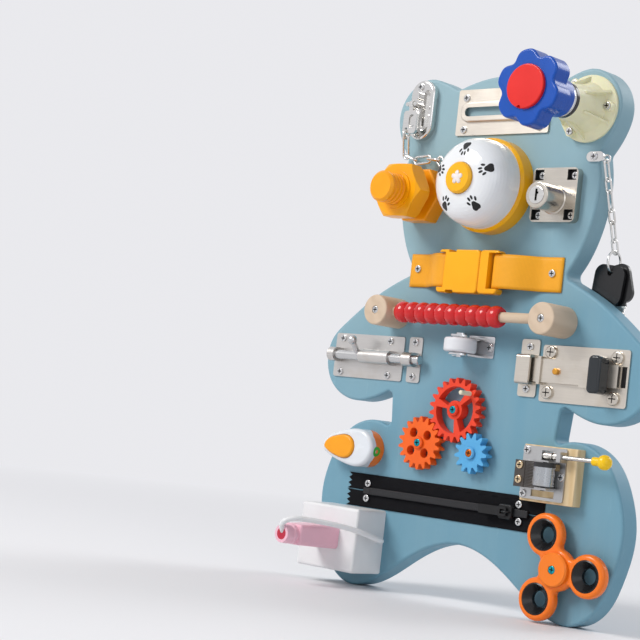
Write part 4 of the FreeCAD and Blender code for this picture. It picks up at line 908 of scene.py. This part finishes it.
# %% Painted shade in the screws' slots
CELL = 1.5 * MM


def clusters(node):
    """The corners of a node's mesh, in one list for each group of cells that touch."""
    cells = {}
    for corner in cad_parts[node].data.vertices:
        place = (math.floor(corner.co.x / CELL), math.floor(corner.co.z / CELL))
        cells.setdefault(place, []).append(tuple(corner.co))
    groups = []
    while cells:
        waiting = [next(iter(cells))]
        corners = []
        while waiting:
            i, k = waiting.pop()
            corners += cells.pop((i, k), [])
            near = [(i + di, k + dk) for di in (-1, 0, 1) for dk in (-1, 0, 1)]
            waiting += [place for place in near if place in cells and place not in waiting]
        groups.append(corners)
    return groups


def screw_heads(node, head_r, head_high):
    """The middle of each cross slot's floor, for screws that are driven from the front."""
    places = []
    for corners in clusters(node):
        xs, ys, zs = zip(*corners)
        front = min(ys)
        wide = [x for x, y, z in corners if y < front + head_high * MM]
        if max(wide) - min(wide) > 1.5 * head_r * MM:
            places.append(((min(xs) + max(xs)) / 2, front + (0.55 * head_high - 0.04) * MM,
                           (min(zs) + max(zs)) / 2))
    return places


def places_tree(name):
    """A block of a given size on every point of the object's mesh."""
    tree, given = open_tree(name, (("Geometry", "Geometry"), ("Size", "Vector"),
                                   ("Material", "Material")))
    return block_copies(tree, given, given.outputs["Geometry"])


slot_tree = places_tree("slot_bars")
# Near-black bars on each slot's floor: painted shade in the cross slots.
slot_painted_shade = plastic("slot_painted_shade", (0.010, 0.010, 0.010), 0.6, 0.0)
SCREW_KINDS = (("small_screws", 2.8, 1.2), ("pan_screws", 4.6, 2.4), ("long_screws", 2.8, 1.2))
BAR_WIDE = 0.00078
BAR_DEEP = 0.00006
for node, head_r, head_high in SCREW_KINDS:
    heads = screw_heads(node, head_r, head_high)
    reach = 1.26 * head_r * MM
    for way, size in (("across", (reach, BAR_DEEP, BAR_WIDE)), ("upright", (BAR_WIDE, BAR_DEEP, reach))):
        values = {"Size": size, "Material": slot_painted_shade.material}
        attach(repeated("slots_" + way + "_" + node, slot_tree, values, 0, heads), BOARD)
    print(node, len(heads), "slots darkened")


# %% [markdown]
# The music box's drum is studded with tiny pins. They stand on a grid of twenty lines and
# seventeen rings, and a tune would choose which places are filled. Here a fixed seed chooses,
# so each run gives the same drum. A pin is a tapered block that leans out from the axis, so it
# is quicker to write its eight corners than to turn copies.

# %% Pins on the drum
DRUM = (84.0, 18.6)
DRUM_R = 7.2
PIN_LINES, PIN_RINGS = 20, 17
PIN_SHARE = 0.42
FIRST_RING, RING_STEP = 94.4, 0.76


def pin_rows(finish):
    """Small pins in random places of the drum's skin."""
    chance = random.Random(7)
    points, faces = [], []
    for line in range(PIN_LINES):
        a = 2 * math.pi * line / PIN_LINES
        out = Vector((math.cos(a), math.sin(a)))
        side = Vector((-out.y, out.x))
        for step in range(PIN_RINGS):
            if chance.random() > PIN_SHARE:
                continue
            z = FIRST_RING + step * RING_STEP
            start = len(points)
            for reach, half in ((DRUM_R - 0.2, 0.16), (DRUM_R + 0.35, 0.12)):
                for across, rise in ((-1, -1), (1, -1), (1, 1), (-1, 1)):
                    flat = out * reach + side * across * half
                    points.append(spot(DRUM[0] + flat.x, DRUM[1] + flat.y, z + rise * half))
            faces += [(start, start + 3, start + 2, start + 1),
                      (start + 4, start + 5, start + 6, start + 7)]
            for k in range(4):
                n = (k + 1) % 4
                faces.append((start + k, start + n, start + 4 + n, start + 4 + k))
    return mesh_piece("drum_pins", points, faces, finish, smooth=False)


pins = pin_rows(plated("pin_steel", (0.70, 0.70, 0.70), 0.2, 0.02))
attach(pins, "drum")
print("drum pins", len(pins.data.polygons) // 6)


# %% [markdown]
# The plug's cord leaves the plug's outer end, turns back over it and goes into the box's
# side. It is one smooth NURBS line through the route's points, with a round section.

# %% Cord
CORD_EXIT = 77.5
CORD_POINTS = [(0, CORD_EXIT, 0), (0, 84, 7), (7, 79, 12.5), (14, 66, 12), (24, 50, 10.5),
               (33.5, 33, 7), (37, 18, 2.5), (36.5, 7.5, 0.5), (26, 7.5, 0.5)]


def cord_curve(finish):
    curve = bpy.data.curves.new("plug_lead", "CURVE")
    curve.dimensions = "3D"
    line = curve.splines.new("NURBS")
    line.points.add(len(CORD_POINTS) - 1)
    for point, (dx, high, dz) in zip(line.points, CORD_POINTS):
        point.co = (*spot(PLUG[0] + dx, high, PLUG[1] + dz), 1)
    line.order_u = 3
    line.use_endpoint_u = True
    line.resolution_u = 10
    curve.bevel_depth = 2.0 * MM
    curve.bevel_resolution = 6
    curve.use_fill_caps = True
    cord = bpy.data.objects.new("plug_lead", curve)
    bpy.context.scene.collection.objects.link(cord)
    curve.materials.append(finish.material)
    return cord


cord_white = plastic("cord_white", (0.80, 0.81, 0.82), 0.45, 0.05, 0.12, 400.0)
lead = cord_curve(cord_white)
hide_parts("plug_cord")
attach(lead, BOARD)
tuple(spot(PLUG[0], CORD_EXIT, PLUG[1]))
print("cord through", len(CORD_POINTS), "points")


# %% [markdown]
# The stage is a wide pale floor under soft lamps. A large lamp from the upper left and front
# gives the main light, and the world fills the shadows. The camera, glossy and see-through
# rays see a pale background of its own, which adds no light to the object.

# %% Floor, world and lamps
PALE = (0.82, 0.82, 0.85)
FLOOR = 9.0
FADE_FROM, FADE_OVER = 350, 1100


def floor_stage():
    mesh = bpy.data.meshes.new("floor")
    corners = [(FLOOR * x, FLOOR * y, 0) for x, y in ((-1, -1), (1, -1), (1, 1), (-1, 1))]
    mesh.from_pydata(corners, [], [(0, 1, 2, 3)])
    floor = bpy.data.objects.new("floor", mesh)
    bpy.context.scene.collection.objects.link(floor)
    finish = Finish("floor_pale", (0.80, 0.80, 0.82), 0.6)
    finish.bump(finish.noise(30, 2), 0.02, 0.001)
    x, forward, _ = finish.axes()
    far = (((x * x + forward * forward).root() - FADE_FROM) * (1 / FADE_OVER)).clamped()
    seen = finish.add("ShaderNodeLightPath", output="Is Camera Ray")
    for ray in ("Is Glossy Ray", "Is Transmission Ray"):
        seen = seen.maths("MAXIMUM", seen, finish.add("ShaderNodeLightPath", output=ray))
    glow = finish.add("ShaderNodeEmission", None, {"Color": (*PALE, 1), "Strength": 1.0})
    surface = Wire(finish, finish.surface.outputs["BSDF"])
    blend = finish.add("ShaderNodeMixShader", None, {0: far * seen, 1: surface, 2: glow})
    finish.tree.links.new(blend.socket, finish.tree.nodes["Material Output"].inputs["Surface"])
    mesh.materials.append(finish.material)


def pale_world():
    world = bpy.data.worlds.new("studio")
    world.use_nodes = True
    bpy.context.scene.world = world
    nodes, link = world.node_tree.nodes, world.node_tree.links.new
    light = nodes["Background"]
    light.inputs["Color"].default_value = (0.93, 0.95, 1.0, 1)
    light.inputs["Strength"].default_value = 0.42
    seen = nodes.new("ShaderNodeBackground")
    seen.inputs["Color"].default_value = (*PALE, 1)
    seen.inputs["Strength"].default_value = 1.0
    path = nodes.new("ShaderNodeLightPath")
    factor = path.outputs["Is Camera Ray"]
    for ray in ("Is Glossy Ray", "Is Transmission Ray"):
        either = nodes.new("ShaderNodeMath")
        either.operation = "MAXIMUM"
        link(factor, either.inputs[0])
        link(path.outputs[ray], either.inputs[1])
        factor = either.outputs[0]
    mix = nodes.new("ShaderNodeMixShader")
    link(factor, mix.inputs[0])
    link(light.outputs[0], mix.inputs[1])
    link(seen.outputs[0], mix.inputs[2])
    link(mix.outputs[0], nodes["World Output"].inputs["Surface"])


def lamp(name, place, target, size, watts, colour=(1, 1, 1)):
    data = bpy.data.lights.new(name, "AREA")
    data.shape = "DISK"
    data.size = size
    data.energy = watts
    data.color = colour
    light = bpy.data.objects.new(name, data)
    bpy.context.scene.collection.objects.link(light)
    light.location = place
    light.rotation_euler = (Vector(target) - Vector(place)).to_track_quat("-Z", "Y").to_euler()


floor_stage()
pale_world()
AIM = (0, 0, 0.2)
lamp("key", (-0.9, -1.7, 1.6), AIM, 1.1, 40, (1.0, 0.98, 0.95))
lamp("fill", (1.9, -1.2, 0.9), AIM, 1.4, 5, (0.93, 0.96, 1.0))
lamp("back", (0.6, 1.6, 1.5), AIM, 1.2, 16)
bpy.context.scene.view_settings.view_transform = "Standard"
print("lamps", [light.name for light in bpy.data.lights])
